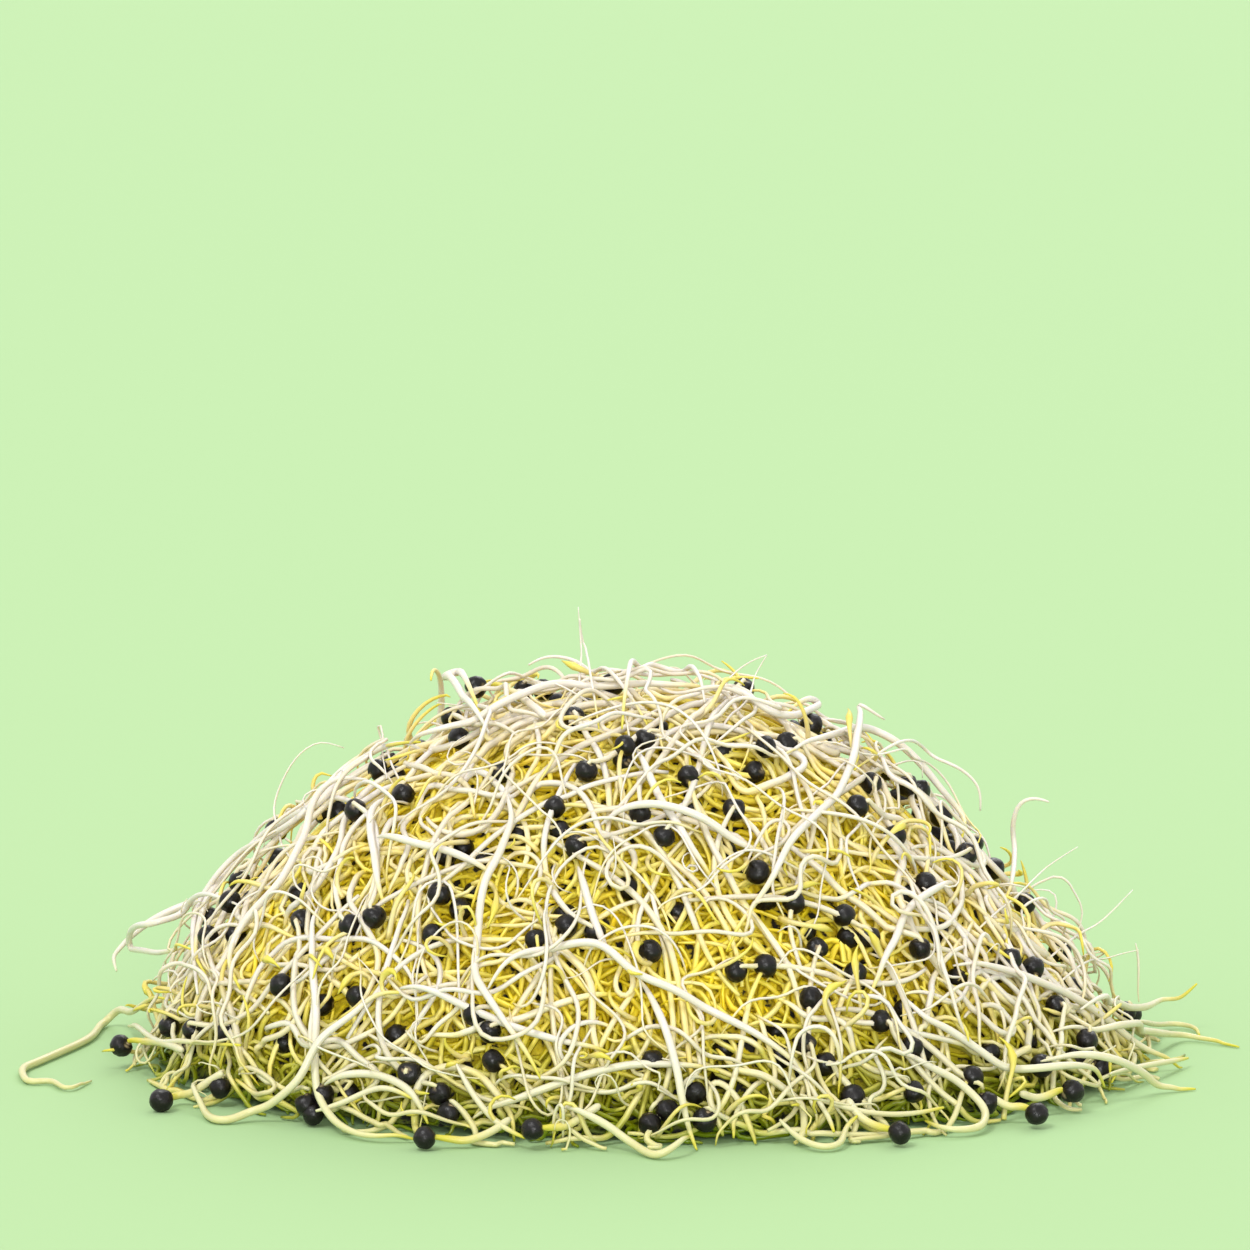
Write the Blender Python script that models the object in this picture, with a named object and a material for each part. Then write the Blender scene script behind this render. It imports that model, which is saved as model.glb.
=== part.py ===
"""A loose heap of fresh onion sprouts, as tipped out of a pack onto a plate or a board.

Each sprout is a white shoot, about a millimetre thick, that tapers to a root at one end and to a yellow
seed leaf at the other, where many still carry the black coat of their seed. The tangle is one solid: a core
with the woven sprouts and seed coats that stand out of it. The long sprouts that lie on top of it are
solids of their own, as are the seed coats on the tips of those that reach out over the ground.

The design is worked out in millimetres and written in metres. The heap's length runs along X, its front is
at -Y, and the origin is on the ground under its top.
"""

import math

import bmesh
import bpy
import numpy as np
from mathutils import Quaternion, Vector

METRES = 0.001

# The heap's own form: the face that the topmost sprouts lie on.
HALF_LENGTH = 67.0
HALF_DEPTH = 57.0
HEIGHT = 49.0
SHOULDER = 2.2  # a larger power keeps the top level for longer
STEEP_FALL, FLARED_FALL = 0.78, 1.40  # how the side drops towards -X and towards +X
FOOT_EASE = 13  # millimetres over which the side turns into the ground
GROUND_REACH = 75.0

# The map is the face unrolled round the top, so that distances on it are close to those along the face.
AZIMUTHS = 96
MAP_ROWS = 170
MAP_HALF = 150.0
CELL = 0.5
MAP_SIDE = round(2 * MAP_HALF / CELL)
MAP_REACH = 80.0  # about how far the foot is from the top, along the face

# Sprouts and seeds.
SHOOT_RADIUS = 0.50
THINNEST_RADIUS = 0.30
SEED_RADIUS = 1.42
BEND_RADIUS = 16.0
CLEARANCE = 0.50
STRAIGHTNESS = 0.15  # how far a facet may cut a bend short

# The tangle, whose threads and seed coats stay under the face.
CORE_DEPTH = 5.6
CORE_INSET = 5  # how far inside the heap's foot the core meets the ground
CORE_SINK = 1.5
ROOT_INWARD = 0.90
FOOT_SPOT = 0.55
THREADS = 58
THREAD_LENGTH = (38.0, 54.0)
THREAD_RADIUS = 1.10  # larger than life, so that the threads cover the core
THREAD_STRAIGHTNESS = 0.80
TIPS = 24
TIP_LENGTH = (4.0, 8.0)
OTHER_SEEDS = 12
BACK_SPROUTS = 8
RANDOM_SEED = 41
GOLDEN_ANGLE = math.pi * (3 - math.sqrt(5))

# The view of the photograph: a long lens, a little above the ground, with the heap low in its frame.
FRAME_PIXELS = 1250
ORIGIN_PIXEL = (655, 1055)
PIXEL_SIZE = 0.1286  # millimetres at the origin, from seeds of 2.8 mm, just under 22 pixels across
CAMERA_DISTANCE = 900.0
CAMERA_RISE = math.radians(11.5)
FOCAL_PIXELS = CAMERA_DISTANCE / PIXEL_SIZE
CAMERA_PITCH = CAMERA_RISE - math.atan((ORIGIN_PIXEL[1] - FRAME_PIXELS / 2) / FOCAL_PIXELS)
RIDGE_DEPTH = 6.0  # about where a sprout that stands out past the heap's outline is taken to be
RIDGE_EASE = 100.0  # a larger value takes it to be nearer to the heap's face
LYING_HEIGHT = 0.6  # height over the face at which a long sprout mostly lies
AIMS = 5

# The long sprouts that lie on the front, by the pixels they pass, from root to seed leaf. Each lies over
# those before it.
LONG_SPROUTS = {
    "left_outer_arc": [
        (420, 743), (383, 747), (348, 768), (316, 804), (257, 841), (212, 892), (196, 940), (198, 972),
    ],
    "left_inner_arc": [(365, 775), (330, 796), (305, 835), (280, 880), (245, 920), (230, 951), (232, 985)],
    "left_hairpin": [(232, 900), (193, 911), (150, 924), (129, 938), (133, 950), (158, 953), (192, 950)],
    "far_left_curl": [
        (91, 1078), (68, 1088), (50, 1080), (29, 1081), (23, 1069), (42, 1060), (88, 1039), (104, 1023),
        (123, 1010), (160, 995),
    ],
    "left_upright": [
        (312, 900), (313, 967), (316, 1010), (315, 1074), (321, 1101), (340, 1125), (370, 1137),
        (418, 1133),
    ],
    "left_front_sweep": [
        (196, 1082), (201, 1106), (217, 1120), (252, 1112), (284, 1101), (305, 1082), (324, 1047),
        (348, 1021), (372, 997), (410, 989),
    ],
    "left_front_hook": [(325, 1086), (364, 1074), (396, 1082), (414, 1096), (425, 1117)],
    "left_shoulder_drop": [(383, 788), (372, 809), (370, 831), (375, 857), (379, 900)],
    "left_middle": [(378, 838), (400, 843), (440, 848), (470, 860), (495, 872)],
    "front_left_wave": [(400, 989), (435, 994), (480, 1013), (520, 1029), (566, 1042), (609, 1048)],
    "front_low_line": [
        (470, 1112), (505, 1103), (545, 1088), (588, 1074), (630, 1065), (668, 1064), (721, 1068),
    ],
    "front_fall": [(640, 975), (652, 999), (665, 1034), (676, 1074), (681, 1101), (689, 1128), (697, 1144)],
    "front_foot_bow": [(560, 1105), (598, 1126), (628, 1144), (657, 1155), (679, 1152), (690, 1140)],
    "long_s": [
        (504, 785), (512, 822), (502, 860), (488, 887), (478, 930), (476, 972), (486, 994), (507, 1026),
        (529, 1058), (541, 1080),
    ],
    "centre_drop": [(577, 860), (588, 900), (598, 930), (612, 960)],
    "front_arch": [
        (491, 994), (515, 967), (539, 954), (577, 947), (604, 951), (636, 978), (681, 997), (721, 1015),
        (762, 1037), (796, 1064), (818, 1093),
    ],
    "centre_diagonal": [(636, 742), (649, 774), (662, 801), (679, 825), (695, 852), (716, 876)],
    "centre_bow": [(600, 818), (620, 813), (657, 811), (695, 822), (735, 841), (775, 857)],
    "crown_line": [
        (410, 744), (435, 741), (480, 721), (520, 705), (566, 689), (609, 685), (641, 683), (684, 685),
        (722, 686),
    ],
    "crown_hairpin": [
        (490, 735), (475, 718), (454, 694), (444, 677), (450, 669), (460, 678), (468, 697), (480, 712),
    ],
    "crown_hook": [(529, 667), (534, 660), (555, 656), (577, 662), (598, 675), (622, 694), (650, 720)],
    "crown_root": [(578, 607), (578, 627), (582, 648), (587, 664), (592, 690), (598, 720)],
    "crown_arch": [(705, 700), (697, 686), (679, 670), (652, 664), (636, 675), (628, 699), (622, 730)],
    "right_crown_loop": [
        (719, 689), (746, 702), (780, 714), (802, 713), (818, 706), (813, 699), (791, 704),
    ],
    "right_shoulder": [
        (790, 748), (829, 735), (869, 729), (895, 741), (918, 761), (943, 792), (961, 813), (969, 833),
    ],
    "right_shoulder_root": [(969, 822), (984, 801), (972, 778), (946, 762), (915, 758), (860, 762)],
    "right_hairpin": [
        (871, 738), (868, 716), (861, 701), (855, 715), (850, 750), (840, 790), (815, 815), (786, 849),
        (767, 887), (740, 924), (729, 946),
    ],
    "right_upright": [
        (1050, 801), (1035, 798), (1028, 794), (1018, 801), (1012, 818), (1014, 850), (1012, 896),
    ],
    "right_middle": [(960, 878), (938, 887), (909, 909), (895, 940), (886, 955), (872, 995)],
    "right_front_sweep": [
        (906, 989), (923, 1015), (949, 1029), (978, 1049), (1012, 1072), (1053, 1084), (1104, 1088),
    ],
    "right_foot_loop": [
        (895, 1044), (926, 1064), (961, 1084), (984, 1107), (982, 1124), (966, 1130), (943, 1127),
        (928, 1112),
    ],
    "right_long_line": [
        (960, 960), (995, 966), (1044, 983), (1076, 998), (1110, 1021), (1139, 1044), (1162, 1055),
        (1185, 1060),
    ],
    "far_right_line": [(1060, 1025), (1116, 1032), (1173, 1034), (1202, 1038), (1239, 1044)],
    "far_right_leaf": [(1080, 1010), (1121, 1004), (1159, 1001), (1182, 999), (1197, 981)],
    "far_right_low": [(1040, 1062), (1073, 1074), (1116, 1086), (1159, 1086), (1196, 1086)],
}

# Sprouts that reach out over the ground with a seed coat on the tip, whose pixel comes last.
SEEDED_SPROUTS = {
    "left": [(182, 1050), (165, 1043), (150, 1041), (136, 1043), (121, 1045)],
    "left_front": [(222, 1072), (205, 1083), (190, 1092), (176, 1097), (161, 1100)],
    "front_left": [(510, 1118), (490, 1132), (470, 1143), (452, 1143), (425, 1137)],
    "front": [(600, 1104), (580, 1117), (565, 1126), (549, 1131), (533, 1130)],
    "front_right": [(848, 1098), (858, 1113), (872, 1124), (886, 1130), (900, 1133)],
    "right_front": [(985, 1093), (998, 1100), (1010, 1106), (1023, 1110), (1037, 1113)],
    "right": [(1020, 1092), (1036, 1097), (1048, 1096), (1059, 1094), (1072, 1092)],
    "crown": [(545, 716), (528, 701), (515, 692), (500, 689), (476, 687)],
}

# Seed coats that show among the sprouts of the front, by their pixels.
FRONT_SEEDS = [
    (573, 712), (498, 768), (586, 769), (645, 735), (554, 803), (575, 844), (400, 789), (355, 808),
    (735, 808), (789, 740), (873, 779), (898, 832), (758, 870), (847, 912), (929, 880), (439, 893),
    (373, 915), (297, 917), (210, 937), (278, 983), (353, 993), (189, 1028), (213, 1088), (302, 1107),
    (409, 1073), (447, 1112), (474, 1014), (536, 940), (566, 923), (650, 950), (767, 963), (812, 998),
    (858, 970), (883, 1020), (1010, 960), (1060, 1003), (914, 1045), (827, 1060), (1043, 1065),
    (990, 1103), (705, 1120), (650, 1124),
]


def heap_height(x, y):
    """Height of the heap's face over the ground."""
    share = np.minimum(np.hypot(x / HALF_LENGTH, y / HALF_DEPTH), 1)
    towards_x = x / np.maximum(np.hypot(x, y), 1e-9)
    fall = (STEEP_FALL + FLARED_FALL) / 2 + (FLARED_FALL - STEEP_FALL) / 2 * towards_x
    return HEIGHT * (1 - share**SHOULDER) ** fall


def eased(values, sign):
    """Values down the face averaged over the foot's ease, mirrored past the top with the sign given."""
    pad = FOOT_EASE // 2
    padded = np.concatenate([sign * values[pad:0:-1], values, np.full(pad, values[-1])])
    return np.convolve(padded, np.ones(FOOT_EASE) / FOOT_EASE, "valid")


def face_profile(azimuth):
    """Radius and height of the face a millimetre apart, from the top down to the ground and out along it."""
    reach = 1 / math.hypot(math.cos(azimuth) / HALF_LENGTH, math.sin(azimuth) / HALF_DEPTH)
    radius = reach * np.linspace(0, 1, 600)
    height = heap_height(radius * math.cos(azimuth), radius * math.sin(azimuth))
    radius = np.append(radius, reach + GROUND_REACH)
    height = np.append(height, 0.0)
    length = np.append(0, np.cumsum(np.hypot(np.diff(radius), np.diff(height))))
    rows = np.arange(MAP_ROWS)
    return eased(np.interp(rows, length, radius), -1), eased(np.interp(rows, length, height), 1)


PROFILES = np.array([face_profile(2 * math.pi * i / AZIMUTHS) for i in range(AZIMUTHS)])
FACE_RADIUS, FACE_HEIGHT = PROFILES[:, 0], PROFILES[:, 1]
FOOT_ROWS = (FACE_HEIGHT > 0.6).sum(1)


def face(uv):
    """Points of the heap's face at places on its map."""
    azimuth = np.arctan2(uv[..., 1], uv[..., 0])
    row = np.clip(np.hypot(uv[..., 0], uv[..., 1]), 0, MAP_ROWS - 2)
    turn = azimuth / (2 * math.pi) * AZIMUTHS % AZIMUTHS
    r, t = row.astype(int), turn.astype(int) % AZIMUTHS
    row_share, turn_share, after = row - r, turn - np.floor(turn), (t + 1) % AZIMUTHS

    def mixed(table):
        here = table[t, r] * (1 - row_share) + table[t, r + 1] * row_share
        there = table[after, r] * (1 - row_share) + table[after, r + 1] * row_share
        return here * (1 - turn_share) + there * turn_share

    radius = mixed(FACE_RADIUS)
    return np.stack([radius * np.cos(azimuth), radius * np.sin(azimuth), mixed(FACE_HEIGHT)], -1)


def above(uv, lift):
    """Points at a height over the face, square to it."""
    half = 1.5
    across = face(uv + (half, 0)) - face(uv - (half, 0))
    along = face(uv + (0, half)) - face(uv - (0, half))
    normal = np.cross(across, along)
    normal /= np.linalg.norm(normal, axis=-1, keepdims=True)
    return face(uv) + normal * np.asarray(lift)[..., None]


def map_place(point):
    """A point's place on the map, and how far it is over the face."""
    azimuth = math.atan2(point[1], point[0])
    rows = np.arange(0, MAP_ROWS - 2, 0.1)
    uv = rows[:, None] * (math.cos(azimuth), math.sin(azimuth))
    on_face = face(uv)
    gap = np.linalg.norm(on_face - point, axis=1)
    best = gap.argmin()
    clear = gap[best] > 0.8 and point[2] > on_face[best, 2]
    return np.array([*uv[best], gap[best] if clear else 0.0])


def camera_place():
    """Where the camera stands, in millimetres."""
    return np.array([
        (FRAME_PIXELS / 2 - ORIGIN_PIXEL[0]) * PIXEL_SIZE,
        -CAMERA_DISTANCE * math.cos(CAMERA_RISE),
        CAMERA_DISTANCE * math.sin(CAMERA_RISE),
    ])


def pixel_of(point):
    """The pixel at which the camera sees a point."""
    away = point - camera_place()
    ahead = away[1] * math.cos(CAMERA_PITCH) - away[2] * math.sin(CAMERA_PITCH)
    up = away[1] * math.sin(CAMERA_PITCH) + away[2] * math.cos(CAMERA_PITCH)
    return FRAME_PIXELS / 2 + FOCAL_PIXELS / ahead * np.array([away[0], -up])


def met_at(pixel):
    """The place on the map, and the height over it, where the line of sight through a pixel meets the heap."""
    right = (pixel[0] - FRAME_PIXELS / 2) / FOCAL_PIXELS
    up = (FRAME_PIXELS / 2 - pixel[1]) / FOCAL_PIXELS
    pitch_cos, pitch_sin = math.cos(CAMERA_PITCH), math.sin(CAMERA_PITCH)
    ray = np.array([right, pitch_cos + up * pitch_sin, up * pitch_cos - pitch_sin])
    ahead = np.arange(CAMERA_DISTANCE - 110, CAMERA_DISTANCE + 110, 0.25)
    points = camera_place() + ahead[:, None] * ray
    clear = points[:, 2] - heap_height(points[:, 0], points[:, 1])
    reached = (clear <= 0) & (points[:, 1] < HALF_DEPTH / 2)
    if reached.any():
        return map_place(points[reached.argmax()])
    return map_place(points[(clear + (points[:, 1] - RIDGE_DEPTH) ** 2 / RIDGE_EASE).argmin()])


def seen_at(pixel, over=LYING_HEIGHT):
    """Where on the map, and how high, to lay what is seen at a pixel and lies that much over the face."""
    aim, places, misses = np.array(pixel, float), [], []
    for _ in range(AIMS):
        places.append(met_at(aim))
        miss = pixel - pixel_of(above(places[-1][:2], max(places[-1][2], over)))
        misses.append(math.hypot(*miss))
        aim = aim + miss
    return places[int(np.argmin(misses))]


def even(points, spacing):
    """Points a set distance apart along a line."""
    length = np.append(0, np.cumsum(np.linalg.norm(np.diff(points[:, :2], axis=0), axis=1)))
    stops = np.linspace(0, length[-1], max(3, round(length[-1] / spacing) + 1))
    return np.stack([np.interp(stops, length, points[:, i]) for i in range(points.shape[1])], 1)


def smooth_line(points, spacing):
    """A smooth line through points, a set distance apart."""
    points = np.asarray(points, float)
    ends = np.vstack([2 * points[0] - points[1], points, 2 * points[-1] - points[-2]])
    t = np.linspace(0, 1, 16, endpoint=False)[:, None]
    pieces = []
    for a, b, c, d in zip(ends, ends[1:], ends[2:], ends[3:]):
        second, third = a - 2.5 * b + 2 * c - 0.5 * d, (3 * (b - c) + d - a) / 2
        pieces.append(b + t * ((c - a) / 2 + t * (second + t * third)))
    return softened(even(np.vstack([*pieces, points[-1:]]), spacing))


def softened(line):
    """A line averaged over the two points on each side, with its ends kept."""
    padded = np.pad(line, ((2, 2), (0, 0)), mode="reflect", reflect_type="odd")
    weight = np.array([1, 3, 4, 3, 1]) / 12
    return np.stack([np.convolve(column, weight, "valid") for column in padded.T], 1)


def wandering(rng, length, inward=1.0, middle=None):
    """A random route over the map: it turns slowly, and follows the foot where it would leave the heap."""
    steps = np.arange(0, length, 1.0)
    bend = sum(
        rng.normal(0, 0.030) * np.sin(steps * rng.uniform(0.03, 0.16) + rng.uniform(0, 2 * math.pi))
        for _ in range(3)
    )
    heading = rng.uniform(0, 2 * math.pi) + np.cumsum(bend)
    walk = np.cumsum(np.stack([np.cos(heading), np.sin(heading)], 1), 0)
    azimuth = rng.uniform(0, 2 * math.pi)
    if middle is None:
        middle = np.array([math.cos(azimuth), math.sin(azimuth)]) * math.sqrt(rng.uniform()) * MAP_REACH
    return drawn_in(walk - walk[len(walk) // 2] + middle, 0.97 * inward)


def drawn_in(uv, most):
    """Places on the map, with those past the foot drawn in towards it."""
    azimuth = np.arctan2(uv[:, 1], uv[:, 0])
    foot = FOOT_ROWS[(azimuth / (2 * math.pi) * AZIMUTHS).astype(int) % AZIMUTHS] * most
    share = np.hypot(uv[:, 0], uv[:, 1]) / foot
    start, room = 0.82, 0.18
    kept = np.where(share > start, start + room * np.tanh((share - start) / room), share)
    return uv * (kept / np.maximum(share, 1e-9))[:, None]


def bends(points, tolerance, first=0):
    """Indices of the points that a line needs so that its straight runs stay within tolerance of it."""
    chord, away = points[-1] - points[0], points - points[0]
    share = np.clip(away @ chord / max(chord @ chord, 1e-9), 0, 1)
    gap = np.linalg.norm(away - share[:, None] * chord, axis=1)
    worst = int(gap.argmax())
    if gap[worst] < tolerance:
        return [first, first + len(points) - 1]
    before = bends(points[: worst + 1], tolerance, first)
    return before[:-1] + bends(points[worst:], tolerance, first + worst)


def cells(uv):
    """The grid cells of places on the map."""
    return tuple(np.clip(np.round((uv + MAP_HALF) / CELL), 0, MAP_SIDE - 1).astype(int).T)


def lay(pile, uv, radius, lift, clearance):
    """Heights over the face of a stiff sprout laid on the pile along uv, which it is then added to."""
    need = pile[cells(uv)] + radius + clearance
    along = np.append(0, np.cumsum(np.linalg.norm(np.diff(uv, axis=0), axis=1)))
    bridged = (need[None] - (along[:, None] - along[None]) ** 2 / (2 * BEND_RADIUS)).max(1)
    padded = np.pad(np.maximum(bridged, lift), 2, mode="edge")
    height = np.convolve(padded, np.ones(5) / 5, "valid") + 0.05
    mark(pile, uv, height + radius, 2 * radius + clearance)
    return height


def mark(pile, uv, top, reach):
    """Raises the pile to top for reach round each place."""
    offsets = np.arange(-math.ceil(reach / CELL), math.ceil(reach / CELL) + 1) * CELL
    for du in offsets:
        for dv in offsets:
            if math.hypot(du, dv) <= reach + CELL / 2:
                np.maximum.at(pile, cells(uv + (du, dv)), top)


def sprout_radii(count, has_root=True):
    """Radii along a sprout, which tapers to its root and to its seed leaf."""
    share = np.linspace(0, 1, count)
    root = np.clip(share / 0.25, 0, 1) if has_root else 1.0
    leaf = np.clip((1 - share) / 0.30, 0, 1)
    thin = THINNEST_RADIUS / SHOOT_RADIUS
    return SHOOT_RADIUS * (thin + (1 - thin) * np.minimum(root, leaf) ** 0.7)


def material(name, colour, roughness):
    made = bpy.data.materials.new(name)
    made.use_nodes = True
    surface = made.node_tree.nodes["Principled BSDF"]
    surface.inputs["Base Color"].default_value = (*colour, 1)
    surface.inputs["Roughness"].default_value = roughness
    made.diffuse_color = (*colour, 1)
    return made


def in_collection(name):
    made = bpy.data.collections.new(name)
    bpy.context.scene.collection.children.link(made)
    return made


def add_tube(name, points, radii, surface, collection, tolerance=STRAIGHTNESS):
    """A round tube along points, in millimetres, with a radius at each."""
    kept = bends(points, tolerance)
    points, radii = points[kept], np.asarray(radii)[kept]
    curve = bpy.data.curves.new(name, "CURVE")
    curve.dimensions = "3D"
    curve.bevel_depth = METRES
    curve.bevel_resolution = 0
    curve.use_fill_caps = True
    spline = curve.splines.new("POLY")
    spline.points.add(len(points) - 1)
    for point, place, radius in zip(spline.points, points, radii):
        point.co = (*(place * METRES), 1)
        point.radius = radius
    curve.materials.append(surface)
    made = bpy.data.objects.new(name, curve)
    collection.objects.link(made)
    return made


def add_seed(name, centre, turn, fineness, surface, collection):
    """A seed coat: a lump a little longer than it is wide, flat on one side."""
    mesh = bpy.data.meshes.new(name)
    shape = bmesh.new()
    bmesh.ops.create_icosphere(shape, subdivisions=fineness, radius=SEED_RADIUS * METRES)
    flat = 0.55 * SEED_RADIUS * METRES
    for vertex in shape.verts:
        vertex.co.x *= 1.08
        vertex.co.z *= 0.9
        vertex.co.z = max(vertex.co.z, -flat)
    bmesh.ops.dissolve_degenerate(shape, dist=1e-6, edges=shape.edges)
    bmesh.ops.transform(shape, matrix=turn.to_matrix().to_4x4(), verts=shape.verts)
    shape.to_mesh(mesh)
    shape.free()
    mesh.materials.append(surface)
    made = bpy.data.objects.new(name, mesh)
    made.location = Vector(centre) * METRES
    collection.objects.link(made)
    return made


def as_mesh(made, collection):
    """The curve object as a closed mesh object in the same place."""
    graph = bpy.context.evaluated_depsgraph_get()
    mesh = bpy.data.meshes.new_from_object(made.evaluated_get(graph))
    shape = bmesh.new()
    shape.from_mesh(mesh)
    bmesh.ops.remove_doubles(shape, verts=shape.verts, dist=1e-7)
    shape.to_mesh(mesh)
    shape.free()
    solid = bpy.data.objects.new(made.name + "_solid", mesh)
    solid.matrix_world = made.matrix_world
    collection.objects.link(solid)
    bpy.data.objects.remove(made)
    return solid


def random_turn(rng):
    return Quaternion(rng.normal(size=4)).normalized()


def long_sprout_lines(rng, pile):
    """Name, points and radii of each long sprout, in the order in which they are laid."""
    routes = []
    for name, pixels in LONG_SPROUTS.items():
        routes.append((name, np.array([seen_at(pixel) for pixel in pixels])))
    made = []
    while len(made) < BACK_SPROUTS:
        uv = wandering(rng, rng.uniform(46, 62))
        if face(uv)[:, 1].min() > 4:
            made.append((f"back_{len(made) + 1:02d}", np.column_stack([uv[::6], np.zeros(len(uv[::6]))])))
    for name, route in routes + made:
        line = smooth_line(route, 0.5)
        height = lay(pile, line[:, :2], SHOOT_RADIUS, line[:, 2], CLEARANCE)
        yield name, above(line[:, :2], height), sprout_radii(len(line))


def seeded_sprout_lines(pile):
    """Name, points, radii and seed centre of each sprout that carries its seed coat out over the ground."""
    for name, pixels in SEEDED_SPROUTS.items():
        route = np.array([seen_at(pixel) for pixel in pixels[:-1]] + [seen_at(pixels[-1], SEED_RADIUS)])
        seed = route[-1]
        seed[2] = max(pile[cells(seed[None, :2])][0] + SEED_RADIUS + CLEARANCE, seed[2])
        centre = above(seed[:2], seed[2])
        line = smooth_line(route, 0.5)
        away = np.linalg.norm(above(line[:, :2], line[:, 2]) - centre, axis=1)
        line = line[: (away < 1.15 * SEED_RADIUS + THINNEST_RADIUS + CLEARANCE).argmax()]
        lift = np.interp(np.arange(len(line)), [len(line) - 12, len(line) - 1], [0, seed[2]])
        height = lay(pile, line[:, :2], THINNEST_RADIUS + 0.1, lift, CLEARANCE)
        mark(pile, seed[None, :2], seed[2] + SEED_RADIUS, SEED_RADIUS + SHOOT_RADIUS + CLEARANCE)
        yield name, above(line[:, :2], height), sprout_radii(len(line), has_root=False), centre


def add_core(surface, collection):
    """The heap's middle: a sphere drawn onto the face, some way below it, and level underneath."""
    mesh = bpy.data.meshes.new("tangle")
    shape = bmesh.new()
    bmesh.ops.create_uvsphere(shape, u_segments=24, v_segments=14, radius=1)
    for vertex in shape.verts:
        azimuth = math.atan2(vertex.co.y, vertex.co.x)
        polar = math.acos(max(-1, min(1, vertex.co.z)))
        foot = float(FOOT_ROWS[round(azimuth / (2 * math.pi) * AZIMUTHS) % AZIMUTHS]) - CORE_INSET
        share = min(polar, math.pi / 2) / (math.pi / 2)
        uv = np.array([math.cos(azimuth), math.sin(azimuth)]) * foot * share
        place = above(uv, -CORE_DEPTH)
        place[2] = max(place[2], 1.2)
        if polar > math.pi / 2 + 0.01:
            inner = (math.pi - polar) / (math.pi / 2)
            place[:2] *= inner
            place[2] = 0.0 if inner < FOOT_SPOT else 0.6
        vertex.co = Vector(place) * METRES
    shape.to_mesh(mesh)
    shape.free()
    mesh.materials.append(surface)
    made = bpy.data.objects.new("tangle", mesh)
    collection.objects.link(made)
    return made


def rooted(uv):
    """A point inside the core, below a place on the map and a little nearer to the middle."""
    point = above(ROOT_INWARD * uv, -CORE_DEPTH - CORE_SINK)
    point[2] = max(point[2], 1.6)
    return point


def add_threads(rng, surface, collection):
    """The tangle's sprouts, which lie over and under each other below the face and end inside the core."""
    lowest, highest = THREAD_RADIUS - CORE_DEPTH, -THREAD_RADIUS - CLEARANCE
    pile = np.full((MAP_SIDE, MAP_SIDE), -CORE_DEPTH)
    for i in range(THREADS):
        azimuth = i * GOLDEN_ANGLE
        reach = math.sqrt((i + 0.5) / THREADS) * MAP_REACH
        middle = reach * np.array([math.cos(azimuth), math.sin(azimuth)])
        uv = wandering(rng, rng.uniform(*THREAD_LENGTH), 0.94, middle)
        height = lay(pile, uv, THREAD_RADIUS, lowest, 0.1)
        points = above(uv, np.minimum(height, highest))
        points[:, 2] = np.maximum(points[:, 2], THREAD_RADIUS + 0.3)
        roots = [rooted(uv[end]) for end in (0, -1)]
        points = np.vstack([roots[:1], points[3:-3], roots[1:]])
        radii = sprout_radii(len(points)) * THREAD_RADIUS / SHOOT_RADIUS
        tube = add_tube(f"thread_{i}", points, radii, surface, collection, THREAD_STRAIGHTNESS)
        as_mesh(tube, collection)


def add_tips(rng, pile, surface, collection):
    """Seed leaves and roots that stand out of the heap where no long sprout lies."""
    placed = 0
    while placed < TIPS:
        uv = wandering(rng, 6.0, 0.97)
        out = rng.uniform(*TIP_LENGTH)
        lean = rng.uniform(0.6, 1.4) * out
        base, towards = uv[:1], (uv[-1] - uv[0]) / 5
        route = base + np.array([0, 0.5, 1])[:, None] * towards * lean
        if (pile[cells(smooth_line(route, 0.5))] > -CLEARANCE).any() or face(base)[0, 2] < 3:
            continue
        mark(pile, smooth_line(route, 0.5), out, 1.0)
        points = np.vstack([rooted(base[0]), above(route, np.array([-0.5, 0.45 * out, out]))])
        radii = [0.42, 0.42, 0.38, THINNEST_RADIUS]
        as_mesh(add_tube(f"tip_{placed}", points, radii, surface, collection), collection)
        placed += 1


def add_tangle_seeds(rng, pile, surface, collection):
    """Seed coats in the tangle: proud of the face where nothing lies over them, and else sunk below it."""
    places = [seen_at(pixel, 0)[:2] for pixel in FRONT_SEEDS]
    while len(places) < len(FRONT_SEEDS) + OTHER_SEEDS:
        uv = wandering(rng, 3.0)[0]
        if face(uv)[1] > 0:
            places.append(uv)
    for i, uv in enumerate(places):
        uv = drawn_in(uv[None], 0.94)[0]
        around = uv + 1.6 * np.array([[0, 0], [1, 0], [-1, 0], [0, 1], [0, -1]])
        open_above = (pile[cells(around)] <= -CLEARANCE).all()
        height = -0.75 if open_above else -CLEARANCE - 1.08 * SEED_RADIUS
        centre = above(uv, height)
        centre[2] = max(centre[2], SEED_RADIUS + 0.6)
        if open_above:
            mark(pile, uv[None], height + SEED_RADIUS, SEED_RADIUS + 0.6)
        add_seed(f"tangle_seed_{i}", centre, random_turn(rng), 1, surface, collection)
        stalk = np.array([rooted(uv), centre])
        as_mesh(add_tube(f"stalk_{i}", stalk, [0.45, 0.40], surface, collection), collection)


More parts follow.
